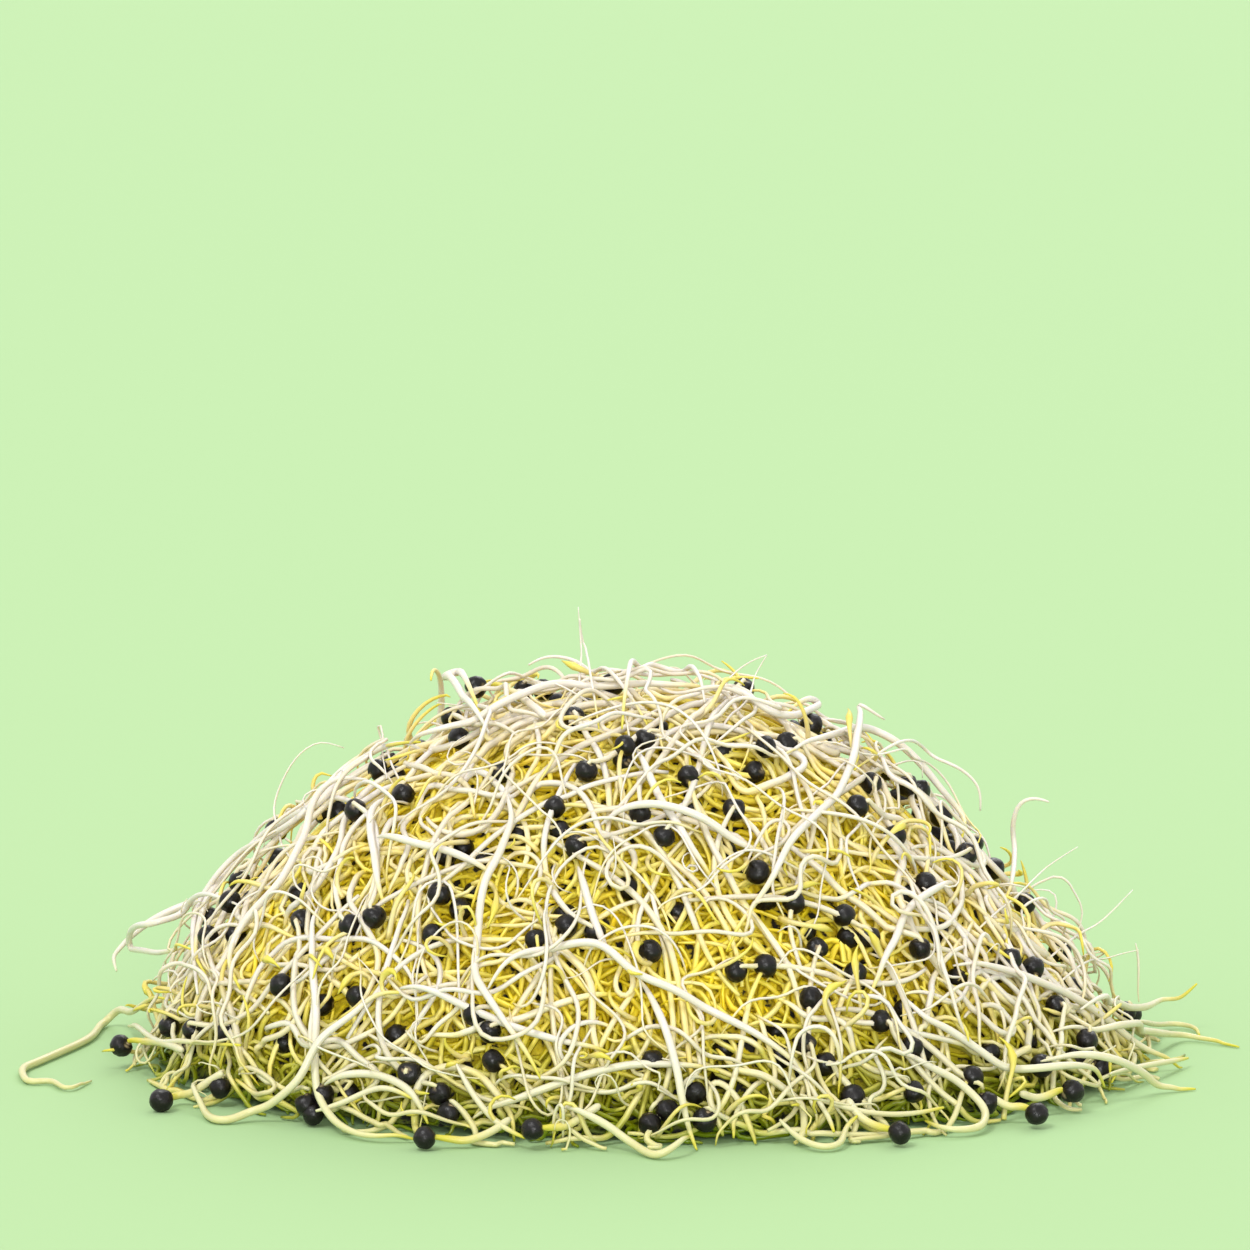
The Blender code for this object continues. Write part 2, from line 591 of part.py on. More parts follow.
def keep_outer_body(mesh):
    """Fills the pockets that the union sealed and drops loose scraps, by keeping only the largest body."""
    shape = bmesh.new()
    shape.from_mesh(mesh)
    bmesh.ops.triangulate(shape, faces=shape.faces)
    left = set(shape.faces)
    bodies = []
    while left:
        body = [left.pop()]
        for face_of_body in body:
            for edge in face_of_body.edges:
                reached = left.intersection(edge.link_faces) if len(edge.link_faces) == 2 else ()
                left.difference_update(reached)
                body.extend(reached)
        bodies.append(body)
    bodies.sort(key=len)
    bmesh.ops.delete(shape, geom=sum(bodies[:-1], []), context="FACES")
    shape.to_mesh(mesh)
    shape.free()


def main():
    for old in list(bpy.data.objects):
        bpy.data.objects.remove(old)
    rng = np.random.default_rng(RANDOM_SEED)
    parts, pieces = in_collection("onion_sprouts"), in_collection("pieces_of_the_tangle")
    shoot = material("shoot", (0.90, 0.86, 0.66), 0.35)
    yellow = material("tangled_shoots", (0.84, 0.76, 0.42), 0.45)
    coat = material("seed_coat", (0.022, 0.019, 0.020), 0.42)

    pile = np.full((MAP_SIDE, MAP_SIDE), -CLEARANCE)
    for name, points, radii, centre in seeded_sprout_lines(pile):
        add_tube(f"seeded_sprout_{name}", points, radii, shoot, parts)
        add_seed(f"seed_coat_{name}", centre, random_turn(rng), 2, coat, parts)
    for name, points, radii in long_sprout_lines(rng, pile):
        add_tube(f"sprout_{name}", points, radii, shoot, parts)

    tangle = add_core(yellow, parts)
    tangle.data.materials.append(coat)
    add_threads(rng, yellow, pieces)
    add_tangle_seeds(rng, pile, coat, pieces)
    add_tips(rng, pile, yellow, pieces)
    join = tangle.modifiers.new("join", "BOOLEAN")
    join.operation = "UNION"
    join.operand_type = "COLLECTION"
    join.collection = pieces
    join.solver = "MANIFOLD"
    with bpy.context.temp_override(object=tangle, active_object=tangle):
        bpy.ops.object.modifier_apply(modifier=join.name)
    keep_outer_body(tangle.data)
    for piece in list(pieces.objects):
        bpy.data.objects.remove(piece)
    bpy.data.collections.remove(pieces)


main()
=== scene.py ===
"""The looks of a loose heap of fresh onion sprouts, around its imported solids.

The heap is filled from the inside out: about 1,900 shoots are laid one by one over a rough inside, each on
those below it, with seed coats among them. Then come the long sprouts that the solids have as pieces of
their own, along the same routes. Lengths are in millimetres until a mesh is made.
"""

import math

import bpy
import numpy as np
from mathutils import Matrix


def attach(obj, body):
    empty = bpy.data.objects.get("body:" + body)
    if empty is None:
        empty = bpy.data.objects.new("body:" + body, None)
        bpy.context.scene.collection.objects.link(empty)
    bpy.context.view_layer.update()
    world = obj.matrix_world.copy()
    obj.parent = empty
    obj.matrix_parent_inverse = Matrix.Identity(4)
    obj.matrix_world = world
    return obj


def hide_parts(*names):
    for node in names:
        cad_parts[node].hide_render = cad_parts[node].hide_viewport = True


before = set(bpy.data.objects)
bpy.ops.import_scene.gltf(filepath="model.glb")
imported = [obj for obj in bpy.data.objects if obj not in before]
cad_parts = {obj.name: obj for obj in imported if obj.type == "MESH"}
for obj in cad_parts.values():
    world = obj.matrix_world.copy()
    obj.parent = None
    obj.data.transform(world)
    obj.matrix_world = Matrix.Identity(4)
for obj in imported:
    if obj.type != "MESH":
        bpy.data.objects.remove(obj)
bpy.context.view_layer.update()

METRES = 0.001

# The heap's own form, as its solids have it: the face that the topmost sprouts lie on.
HALF_LENGTH = 67.0
HALF_DEPTH = 57.0
HEIGHT = 49.0
SHOULDER = 2.2
STEEP_FALL, FLARED_FALL = 0.78, 1.40
FOOT_EASE = 13
FOOT_HEIGHT = 0.6  # the heap ends where its face is this low
GROUND_REACH = 75.0

# The map is the face unrolled round the top.
AZIMUTHS = 96
MAP_ROWS = 170
MAP_HALF = 150.0
CELL = 0.5
MAP_SIDE = round(2 * MAP_HALF / CELL)
MAP_REACH = 80.0

# The long sprouts, which are laid as in the solids.
SHOOT_RADIUS = 0.50
THINNEST_RADIUS = 0.30
BEND_RADIUS = 16.0
CLEARANCE = 0.50
BACK_SPROUTS = 8
ROUTE_SEED = 41
ROUTE_STEP = 0.5

# The seed coats: balls with a few flat sides.
SEED_RADIUS = 1.50
SEED_GAP = SEED_RADIUS + 0.55  # how far shoots keep from the middle of a seed coat
SEED_RINGS, SEED_SIDES = 12, 20
FLAT_SIDES = 7
FLATNESS = 14
BURIED_SEEDS = 110
OTHER_SEEDS = 60

# The heap's filling, by height over the face: a layer fills up to its level on average, under its limit.
FILL_SEED = 7
CORE_DEPTH = 5.2
CORE_ROWS = 40
CORE_INSET = 6.0
DEEP = {"level": -3.9, "limit": -2.6, "radius": 0.40, "bend_radius": 4.0}
MIDDLE = {"level": -2.5, "limit": -1.5, "radius": 0.38, "bend_radius": 3.5}
OUTER = {"level": -1.05, "limit": -0.5, "radius": 0.37, "bend_radius": 5.0}
MOST_SHOOTS = 1600  # in one layer
ROUTES_TRIED = 6
RIDGE_DIP, END_DIP, RIDGE_WIDTH = 1.4, 2.0, 12.0  # how much lower it is kept where the outline is seen
LOOSE_SHOOTS = 260  # thin shoots that arch clear of the heap
FREE_TIPS = 280  # seed leaves and roots that stand out of it
NO_LIFT = -99.0
OFF_GROUND = 0.12  # how far shoots are kept from the ground
STRIP_LENGTH = 24  # how many times as long as wide a shoot's strip of the texture map is

# The shoots are yellowest, with the strongest painted glow, low on the middle of the heap, and paler towards
# its top and its ends.
YELLOW_HALF_WIDTH = 36.0
YELLOW_MIDDLE, YELLOW_HALF_HEIGHT = 17.0, 17.0
PALER = 1.3
FOOT_LEAF, FOOT_LEAF_HEIGHT = 0.35, 4  # how yellow all shoots are on the ground, and how soon that fades

# Colours on screen, from 0 to 255: along a shoot from its root, up from the inside of the heap, in the gaps
# between the shoots, and over a seed coat. Up from the inside, the deep yellow is partly the shoots' own
# colour and partly a painted glow of light passing through them. In the gaps, the dark patches are painted
# shade and the bright yellow is partly the shoots' colour and partly painted glow.
ALONG_SHOOT = [
    (0.0, (244, 238, 229)),
    (0.35, (247, 237, 200)),
    (0.60, (249, 234, 158)),
    (0.82, (244, 230, 104)),
    (1.0, (233, 224, 74)),
]
UP_FROM_INSIDE_WITH_PAINTED_GLOW = [
    (0.0, (255, 237, 36)),
    (0.35, (255, 241, 64)),
    (0.62, (254, 245, 124)),
    (0.86, (250, 243, 206)),
    (1.0, (229, 228, 230)),
]
# Dark patches are painted shade in the deep gaps. The yellow is partly the shoots' colour and partly a
# painted glow.
GAPS_PAINTED_SHADE_AND_GLOW = [(0.42, (20, 17, 4)), (0.49, (224, 200, 30)), (0.8, (250, 232, 56))]
OVER_SEED = [(0.30, (8, 6, 6)), (0.60, (17, 12, 12)), (0.85, (34, 27, 26))]

# The view of the photograph.
FRAME_PIXELS = 1250
ORIGIN_PIXEL = (655, 1055)
PIXEL_SIZE = 0.1286
CAMERA_DISTANCE = 900.0
CAMERA_RISE = math.radians(11.5)
FOCAL_PIXELS = CAMERA_DISTANCE / PIXEL_SIZE
CAMERA_PITCH = CAMERA_RISE - math.atan((ORIGIN_PIXEL[1] - FRAME_PIXELS / 2) / FOCAL_PIXELS)
RIDGE_DEPTH = 6.0
RIDGE_EASE = 100.0
LYING_HEIGHT = 0.6
AIMS = 5
SENSOR = 36.0

# Its light: a white world, and suns with their turn, tilt and angular size in degrees and their strength.
WORLD_STRENGTH = 1.05
SUNS = {
    "key": (-35, 34, 16, 1.25),
    "front": (4, 77, 14, 1.30),
    "back": (165, 52, 30, 0.8),
}
FLOOR_REACH = 8.0  # in metres

# The long sprouts that lie on the front, by the pixels they pass as x,y pairs, from root to seed leaf.
LONG_SPROUTS = {
    "left_outer_arc": "420,743 383,747 348,768 316,804 257,841 212,892 196,940 198,972",
    "left_inner_arc": "365,775 330,796 305,835 280,880 245,920 230,951 232,985",
    "left_hairpin": "232,900 193,911 150,924 129,938 133,950 158,953 192,950",
    "far_left_curl": "91,1078 68,1088 50,1080 29,1081 23,1069 42,1060 88,1039 104,1023 123,1010 160,995",
    "left_upright": "312,900 313,967 316,1010 315,1074 321,1101 340,1125 370,1137 418,1133",
    "left_front_sweep": (
        "196,1082 201,1106 217,1120 252,1112 284,1101 305,1082 324,1047 348,1021 372,997 410,989"
    ),
    "left_front_hook": "325,1086 364,1074 396,1082 414,1096 425,1117",
    "left_shoulder_drop": "383,788 372,809 370,831 375,857 379,900",
    "left_middle": "378,838 400,843 440,848 470,860 495,872",
    "front_left_wave": "400,989 435,994 480,1013 520,1029 566,1042 609,1048",
    "front_low_line": "470,1112 505,1103 545,1088 588,1074 630,1065 668,1064 721,1068",
    "front_fall": "640,975 652,999 665,1034 676,1074 681,1101 689,1128 697,1144",
    "front_foot_bow": "560,1105 598,1126 628,1144 657,1155 679,1152 690,1140",
    "long_s": "504,785 512,822 502,860 488,887 478,930 476,972 486,994 507,1026 529,1058 541,1080",
    "centre_drop": "577,860 588,900 598,930 612,960",
    "front_arch": (
        "491,994 515,967 539,954 577,947 604,951 636,978 681,997 721,1015 762,1037 796,1064 818,1093"
    ),
    "centre_diagonal": "636,742 649,774 662,801 679,825 695,852 716,876",
    "centre_bow": "600,818 620,813 657,811 695,822 735,841 775,857",
    "crown_line": "410,744 435,741 480,721 520,705 566,689 609,685 641,683 684,685 722,686",
    "crown_hairpin": "490,735 475,718 454,694 444,677 450,669 460,678 468,697 480,712",
    "crown_hook": "529,667 534,660 555,656 577,662 598,675 622,694 650,720",
    "crown_root": "578,607 578,627 582,648 587,664 592,690 598,720",
    "crown_arch": "705,700 697,686 679,670 652,664 636,675 628,699 622,730",
    "right_crown_loop": "719,689 746,702 780,714 802,713 818,706 813,699 791,704",
    "right_shoulder": "790,748 829,735 869,729 895,741 918,761 943,792 961,813 969,833",
    "right_shoulder_root": "969,822 984,801 972,778 946,762 915,758 860,762",
    "right_hairpin": (
        "871,738 868,716 861,701 855,715 850,750 840,790 815,815 786,849 767,887 740,924 729,946"
    ),
    "right_upright": "1050,801 1035,798 1028,794 1018,801 1012,818 1014,850 1012,896",
    "right_middle": "960,878 938,887 909,909 895,940 886,955 872,995",
    "right_front_sweep": "906,989 923,1015 949,1029 978,1049 1012,1072 1053,1084 1104,1088",
    "right_foot_loop": "895,1044 926,1064 961,1084 984,1107 982,1124 966,1130 943,1127 928,1112",
    "right_long_line": "960,960 995,966 1044,983 1076,998 1110,1021 1139,1044 1162,1055 1185,1060",
    "far_right_line": "1060,1025 1116,1032 1173,1034 1202,1038 1239,1044",
    "far_right_leaf": "1080,1010 1121,1004 1159,1001 1182,999 1197,981",
    "far_right_low": "1040,1062 1073,1074 1116,1086 1159,1086 1196,1086",
}

# Sprouts that reach out over the ground with a seed coat on the tip, whose pixel comes last.
SEEDED_SPROUTS = {
    "left": "182,1050 165,1043 150,1041 136,1043 121,1045",
    "left_front": "222,1072 205,1083 190,1092 176,1097 161,1100",
    "front_left": "510,1118 490,1132 470,1143 452,1143 425,1137",
    "front": "600,1104 580,1117 565,1126 549,1131 533,1130",
    "front_right": "848,1098 858,1113 872,1124 886,1130 900,1133",
    "right_front": "985,1093 998,1100 1010,1106 1023,1110 1037,1113",
    "right": "1020,1092 1036,1097 1048,1096 1059,1094 1072,1092",
    "crown": "545,716 528,701 515,692 500,689 476,687",
}

# Seed coats that show among the sprouts of the front, by their pixels.
FRONT_SEEDS = """
    573,712 612,682 498,768 586,769 625,747 645,735 457,732 554,803 558,819 575,844 400,789 355,808 640,812
    664,836 735,808 789,740 767,745 689,774 873,779 857,807 898,832 927,782 758,870 796,899 847,912 873,933
    929,880 439,893 431,932 373,915 348,924 297,917 210,937 229,901 278,983 353,993 165,1025 189,1028
    222,1031 213,1088 302,1107 320,1095 409,1073 439,1093 447,1115 474,1014 490,1031 536,940 566,923 563,906
    595,931 650,950 767,963 737,968 812,998 807,1041 858,970 883,1020 919,949 1010,960 1033,968 1060,1003
    1086,1041 914,1045 914,1092 855,1094 827,1060 1043,1065 973,1077 990,1103 1107,1065 1127,1011 1141,1021
    705,1120 650,1124 667,1110 696,1089 652,1060 493,1060 820,945 1018,845 943,814 984,833 300,1121
"""

# Radii of the long sprouts that are thinner than the rest.
THIN_SPROUTS = {
    "crown_root": 0.16,
    "crown_hook": 0.26,
    "crown_arch": 0.36,
    "right_upright": 0.34,
    "left_hairpin": 0.42,
    "right_shoulder_root": 0.22,
}

# Root hairs and thin shoots that stand off the outline, by the pixels they pass.
HAIRS = [
    "280,850 276,828 273,809 279,788 295,758 311,745 328,739 344,748",
    "392,770 382,742 375,723 378,711 384,726 380,745 384,775",
    "720,720 748,697 756,673 767,655",
    "700,705 722,686 735,673 748,662 767,655",
    "990,920 1018,896 1051,864 1078,847",
    "1030,885 1053,864 1075,893 1086,919 1075,940",
    "1060,950 1093,927 1114,912 1133,890",
    "1070,975 1104,959 1120,953 1139,950",
    "1150,930 1144,956 1137,985 1139,1002",
    "578,690 582,650 578,627 578,607",
]
FREE_SHOOTS = [
    "198,994 194,959 193,940 204,903 222,876 241,857 265,839 295,820 316,799 335,777 359,758 386,746 420,742",
    "129,1026 150,1037 182,1041 214,1044 241,1045",
    "316,1111 343,1103 370,1090 389,1088 413,1099",
    "456,1064 472,1093 494,1120 513,1133 526,1140",
    "800,1095 829,1103 857,1110 886,1114 915,1113 944,1107",
    "806,1078 817,1098 829,1118 834,1133",
    "780,1120 800,1138 823,1147 840,1144 846,1127 857,1116",
    "1139,1021 1168,1024 1193,1027 1199,1035",
    "1110,1074 1139,1067 1173,1061 1188,1058",
]


def heap_height(x, y):
    """Height of the heap's face over the ground."""
    share = np.minimum(np.hypot(x / HALF_LENGTH, y / HALF_DEPTH), 1)
    towards_x = x / np.maximum(np.hypot(x, y), 1e-9)
    fall = (STEEP_FALL + FLARED_FALL) / 2 + (FLARED_FALL - STEEP_FALL) / 2 * towards_x
    return HEIGHT * (1 - share**SHOULDER) ** fall


def eased(values, sign):
    """Values down the face averaged over the foot's ease, mirrored past the top with the sign given."""
    pad = FOOT_EASE // 2
    padded = np.concatenate([sign * values[pad:0:-1], values, np.full(pad, values[-1])])
    return np.convolve(padded, np.ones(FOOT_EASE) / FOOT_EASE, "valid")


def face_profile(azimuth):
    """Radius and height of the face a millimetre apart, from the top down to the ground and out along it."""
    reach = 1 / math.hypot(math.cos(azimuth) / HALF_LENGTH, math.sin(azimuth) / HALF_DEPTH)
    radius = reach * np.linspace(0, 1, 600)
    height = heap_height(radius * math.cos(azimuth), radius * math.sin(azimuth))
    radius = np.append(radius, reach + GROUND_REACH)
    height = np.append(height, 0.0)
    length = np.append(0, np.cumsum(np.hypot(np.diff(radius), np.diff(height))))
    rows = np.arange(MAP_ROWS)
    return eased(np.interp(rows, length, radius), -1), eased(np.interp(rows, length, height), 1)


PROFILES = np.array([face_profile(2 * math.pi * i / AZIMUTHS) for i in range(AZIMUTHS)])
FACE_RADIUS, FACE_HEIGHT = PROFILES[:, 0], PROFILES[:, 1]
FOOT_ROWS = (FACE_HEIGHT > FOOT_HEIGHT).sum(1)


def face(uv):
    """Points of the heap's face at places on its map."""
    azimuth = np.arctan2(uv[..., 1], uv[..., 0])
    row = np.clip(np.hypot(uv[..., 0], uv[..., 1]), 0, MAP_ROWS - 2)
    turn = azimuth / (2 * math.pi) * AZIMUTHS % AZIMUTHS
    r, t = row.astype(int), turn.astype(int) % AZIMUTHS
    row_share, turn_share, after = row - r, turn - np.floor(turn), (t + 1) % AZIMUTHS

    def mixed(table):
        here = table[t, r] * (1 - row_share) + table[t, r + 1] * row_share
        there = table[after, r] * (1 - row_share) + table[after, r + 1] * row_share
        return here * (1 - turn_share) + there * turn_share

    radius = mixed(FACE_RADIUS)
    return np.stack([radius * np.cos(azimuth), radius * np.sin(azimuth), mixed(FACE_HEIGHT)], -1)


def above(uv, lift):
    """Points at a height over the face, square to it."""
    half = 1.5
    across = face(uv + (half, 0)) - face(uv - (half, 0))
    along = face(uv + (0, half)) - face(uv - (0, half))
    normal = np.cross(across, along)
    normal /= np.linalg.norm(normal, axis=-1, keepdims=True)
    return face(uv) + normal * np.asarray(lift)[..., None]


def map_place(point):
    """A point's place on the map, and how far it is over the face."""
    azimuth = math.atan2(point[1], point[0])
    rows = np.arange(0, MAP_ROWS - 2, 0.1)
    uv = rows[:, None] * (math.cos(azimuth), math.sin(azimuth))
    on_face = face(uv)
    gap = np.linalg.norm(on_face - point, axis=1)
    best = gap.argmin()
    clear = gap[best] > 0.8 and point[2] > on_face[best, 2]
    return np.array([*uv[best], gap[best] if clear else 0.0])


def camera_place():
    """Where the camera stands, in millimetres."""
    return np.array([
        (FRAME_PIXELS / 2 - ORIGIN_PIXEL[0]) * PIXEL_SIZE,
        -CAMERA_DISTANCE * math.cos(CAMERA_RISE),
        CAMERA_DISTANCE * math.sin(CAMERA_RISE),
    ])


def pixel_of(point):
    """The pixel at which the camera sees a point."""
    away = point - camera_place()
    ahead = away[1] * math.cos(CAMERA_PITCH) - away[2] * math.sin(CAMERA_PITCH)
    up = away[1] * math.sin(CAMERA_PITCH) + away[2] * math.cos(CAMERA_PITCH)
    return FRAME_PIXELS / 2 + FOCAL_PIXELS / ahead * np.array([away[0], -up])


def pixels(course):
    """The pixels of a text of x,y pairs."""
    return [tuple(map(int, pair.split(","))) for pair in course.split()]


def met_at(pixel):
    """The map place, and the height over it, where the line of sight through a pixel meets the heap."""
    right = (pixel[0] - FRAME_PIXELS / 2) / FOCAL_PIXELS
    up = (FRAME_PIXELS / 2 - pixel[1]) / FOCAL_PIXELS
    pitch_cos, pitch_sin = math.cos(CAMERA_PITCH), math.sin(CAMERA_PITCH)
    ray = np.array([right, pitch_cos + up * pitch_sin, up * pitch_cos - pitch_sin])
    ahead = np.arange(CAMERA_DISTANCE - 110, CAMERA_DISTANCE + 110, 0.25)
    points = camera_place() + ahead[:, None] * ray
    clear = points[:, 2] - heap_height(points[:, 0], points[:, 1])
    reached = (clear <= 0) & (points[:, 1] < HALF_DEPTH / 2)
    if reached.any():
        return map_place(points[reached.argmax()])
    return map_place(points[(clear + (points[:, 1] - RIDGE_DEPTH) ** 2 / RIDGE_EASE).argmin()])


def seen_at(pixel, over=LYING_HEIGHT):
    """Where on the map, and how high, to lay what is seen at a pixel and lies that much over the face."""
    aim, places, misses = np.array(pixel, float), [], []
    for _ in range(AIMS):
        places.append(met_at(aim))
        miss = pixel - pixel_of(above(places[-1][:2], max(places[-1][2], over)))
        misses.append(math.hypot(*miss))
        aim = aim + miss
    return places[int(np.argmin(misses))]


def averaged(values):
    """Values along a line, each averaged with two on each side."""
    return np.convolve(np.pad(values, 2, mode="edge"), np.ones(5) / 5, "valid")


def softened(line, reach):
    """A line averaged over reach points each way, with its ends kept."""
    padded = np.pad(line, ((reach, reach), (0, 0)), mode="reflect", reflect_type="odd")
    weight = np.hanning(2 * reach + 3)[1:-1]
    weight /= weight.sum()
    return np.stack([np.convolve(padded[:, i], weight, "valid") for i in range(line.shape[1])], 1)


def picked(points, gaps, stops):
    """Points at stops along a line, whose own points lie those gaps apart."""
    length = np.append(0, np.cumsum(gaps))
    return np.stack([np.interp(stops, length, points[:, i]) for i in range(points.shape[1])], 1)


def even(points, count):
    """That many points, an equal distance apart along a line in space."""
    gaps = np.linalg.norm(np.diff(points, axis=0), axis=1)
    return picked(points, gaps, np.linspace(0, np.cumsum(gaps)[-1], count))


def stepped(points, spacing):
    """Points a set distance apart along a line on the map."""
    gaps = np.linalg.norm(np.diff(points[:, :2], axis=0), axis=1)
    length = gaps.sum()
    return picked(points, gaps, np.linspace(0, length, max(3, round(length / spacing) + 1)))


def smooth_line(points, spacing):
    """A smooth line through points, a set distance apart."""
    points = np.asarray(points, float)
    ends = np.vstack([2 * points[0] - points[1], points, 2 * points[-1] - points[-2]])
    t = np.linspace(0, 1, 16, endpoint=False)[:, None]
    pieces = []
    for a, b, c, d in zip(ends, ends[1:], ends[2:], ends[3:]):
        second, third = a - 2.5 * b + 2 * c - 0.5 * d, (3 * (b - c) + d - a) / 2
        pieces.append(b + t * ((c - a) / 2 + t * (second + t * third)))
    return softened(stepped(np.vstack([*pieces, points[-1:]]), spacing), 2)


def seen_line(course, spacing):
    """A smooth line on the map through what is seen along a course of pixels."""
    return smooth_line([seen_at(pixel) for pixel in pixels(course)], spacing)


def foot_rows(uv):
    """How far from the top the foot is, towards places on the map."""
    azimuth = np.arctan2(uv[:, 1], uv[:, 0])
    return FOOT_ROWS[(azimuth / (2 * math.pi) * AZIMUTHS).astype(int) % AZIMUTHS]


def foot_share(uv):
    """How far places on the map are from the top, as a share of the way down to the foot."""
    return np.hypot(uv[:, 0], uv[:, 1]) / foot_rows(uv)


def drawn_in(uv, most):
    """Places on the map, with those past the foot drawn in towards it."""
    share = np.hypot(uv[:, 0], uv[:, 1]) / (foot_rows(uv) * most)
    start, room = 0.82, 0.18
    kept = np.where(share > start, start + room * np.tanh((share - start) / room), share)
    return uv * (kept / np.maximum(share, 1e-9))[:, None]


def swaying(rng, steps, slowest, fastest):
    """A wave along steps, with a random pace and start."""
    return np.sin(steps * rng.uniform(slowest, fastest) + rng.uniform(0, 2 * math.pi))


def walked(heading):
    """The places that a walk with those headings passes, a millimetre apart."""
    return np.cumsum(np.stack([np.cos(heading), np.sin(heading)], 1), 0)


def wandering(rng, length):
    """A random route that turns slowly, and runs round the foot where it would leave the heap."""
    steps = np.arange(0, length, 1.0)
    bend = sum(rng.normal(0, 0.030) * swaying(rng, steps, 0.03, 0.16) for _ in range(3))
    walk = walked(rng.uniform(0, 2 * math.pi) + np.cumsum(bend))
    azimuth = rng.uniform(0, 2 * math.pi)
    middle = np.array([math.cos(azimuth), math.sin(azimuth)]) * math.sqrt(rng.uniform()) * MAP_REACH
    return drawn_in(walk - walk[len(walk) // 2] + middle, 0.97)


def roaming(rng, length, middle, bendiness=0.08):
    """A random route over the map round its middle, cut where it leaves the heap."""
    steps = np.arange(0, length, 1.0)
    bend = rng.normal(0, 0.25) * swaying(rng, steps, 0.3, 0.8)
    for _ in range(3):
        bend += rng.normal(0, bendiness) * swaying(rng, steps, 0.03, 0.25)
    heading = rng.uniform(0, 2 * math.pi) + np.cumsum(bend)
    if rng.uniform() < 0.3:
        at = rng.uniform(0.15, 0.85) * length
        heading += rng.uniform(1.2, 2.9) * rng.choice([-1, 1]) / (1 + np.exp(-(steps - at) / 1.2))
    walk = walked(heading)
    half = len(walk) // 2
    uv = walk - walk[half] + middle
    if rng.uniform() < 0.6:
        uv = drawn_in(uv, rng.uniform(0.86, 1.0))
    outside = foot_share(uv) > rng.uniform(0.90, 1.02)
    before = np.flatnonzero(outside[:half])
    after = np.flatnonzero(outside[half:])
    first = before[-1] + 1 if len(before) else 0
    last = half + after[0] if len(after) else len(uv)
    return uv[first:last]


def anywhere(rng):
    """A random place on the map of the heap."""
    azimuth = rng.uniform(0, 2 * math.pi)
    place = np.array([[math.cos(azimuth), math.sin(azimuth)]])
    return place[0] * math.sqrt(rng.uniform()) / foot_share(place)[0]


def cells(uv):
    """The grid cells of places on the map."""
    return tuple(np.clip(np.round((uv + MAP_HALF) / CELL), 0, MAP_SIDE - 1).astype(int).T)


def map_grid():
    """The places of the map's cells."""
    axis = np.arange(MAP_SIDE) * CELL - MAP_HALF
    return np.stack(np.meshgrid(axis, axis, indexing="ij"), -1)


def bare_pile():
    """The pile before the first shoot: the heap's inside, and the ground where that is higher."""
    grid = map_grid()
    up = above(grid, np.ones((MAP_SIDE, MAP_SIDE)))[..., 2] - face(grid)[..., 2]
    return np.maximum(-CORE_DEPTH, -face(grid)[..., 2] / np.maximum(up, 0.2))


def lay(pile, uv, radius, clearance, lift=NO_LIFT, bend_radius=BEND_RADIUS, reach=None):
    """Heights over the face of a stiff sprout laid on the pile along uv, which it is then added to."""
    need = pile[cells(uv)] + radius + clearance
    along = np.append(0, np.cumsum(np.linalg.norm(np.diff(uv, axis=0), axis=1)))
    bridged = (need[None] - (along[:, None] - along[None]) ** 2 / (2 * bend_radius)).max(1)
    height = averaged(np.maximum(bridged, lift)) + 0.05
    mark(pile, uv, height + radius, 2 * radius + clearance if reach is None else reach)
    return height


def mark(pile, uv, top, reach):
    """Raises the pile to top for reach round each place."""
    offsets = np.arange(-math.ceil(reach / CELL), math.ceil(reach / CELL) + 1) * CELL
    for du in offsets:
        for dv in offsets:
            if math.hypot(du, dv) <= reach + CELL / 2:
                np.maximum.at(pile, cells(uv + (du, dv)), top)


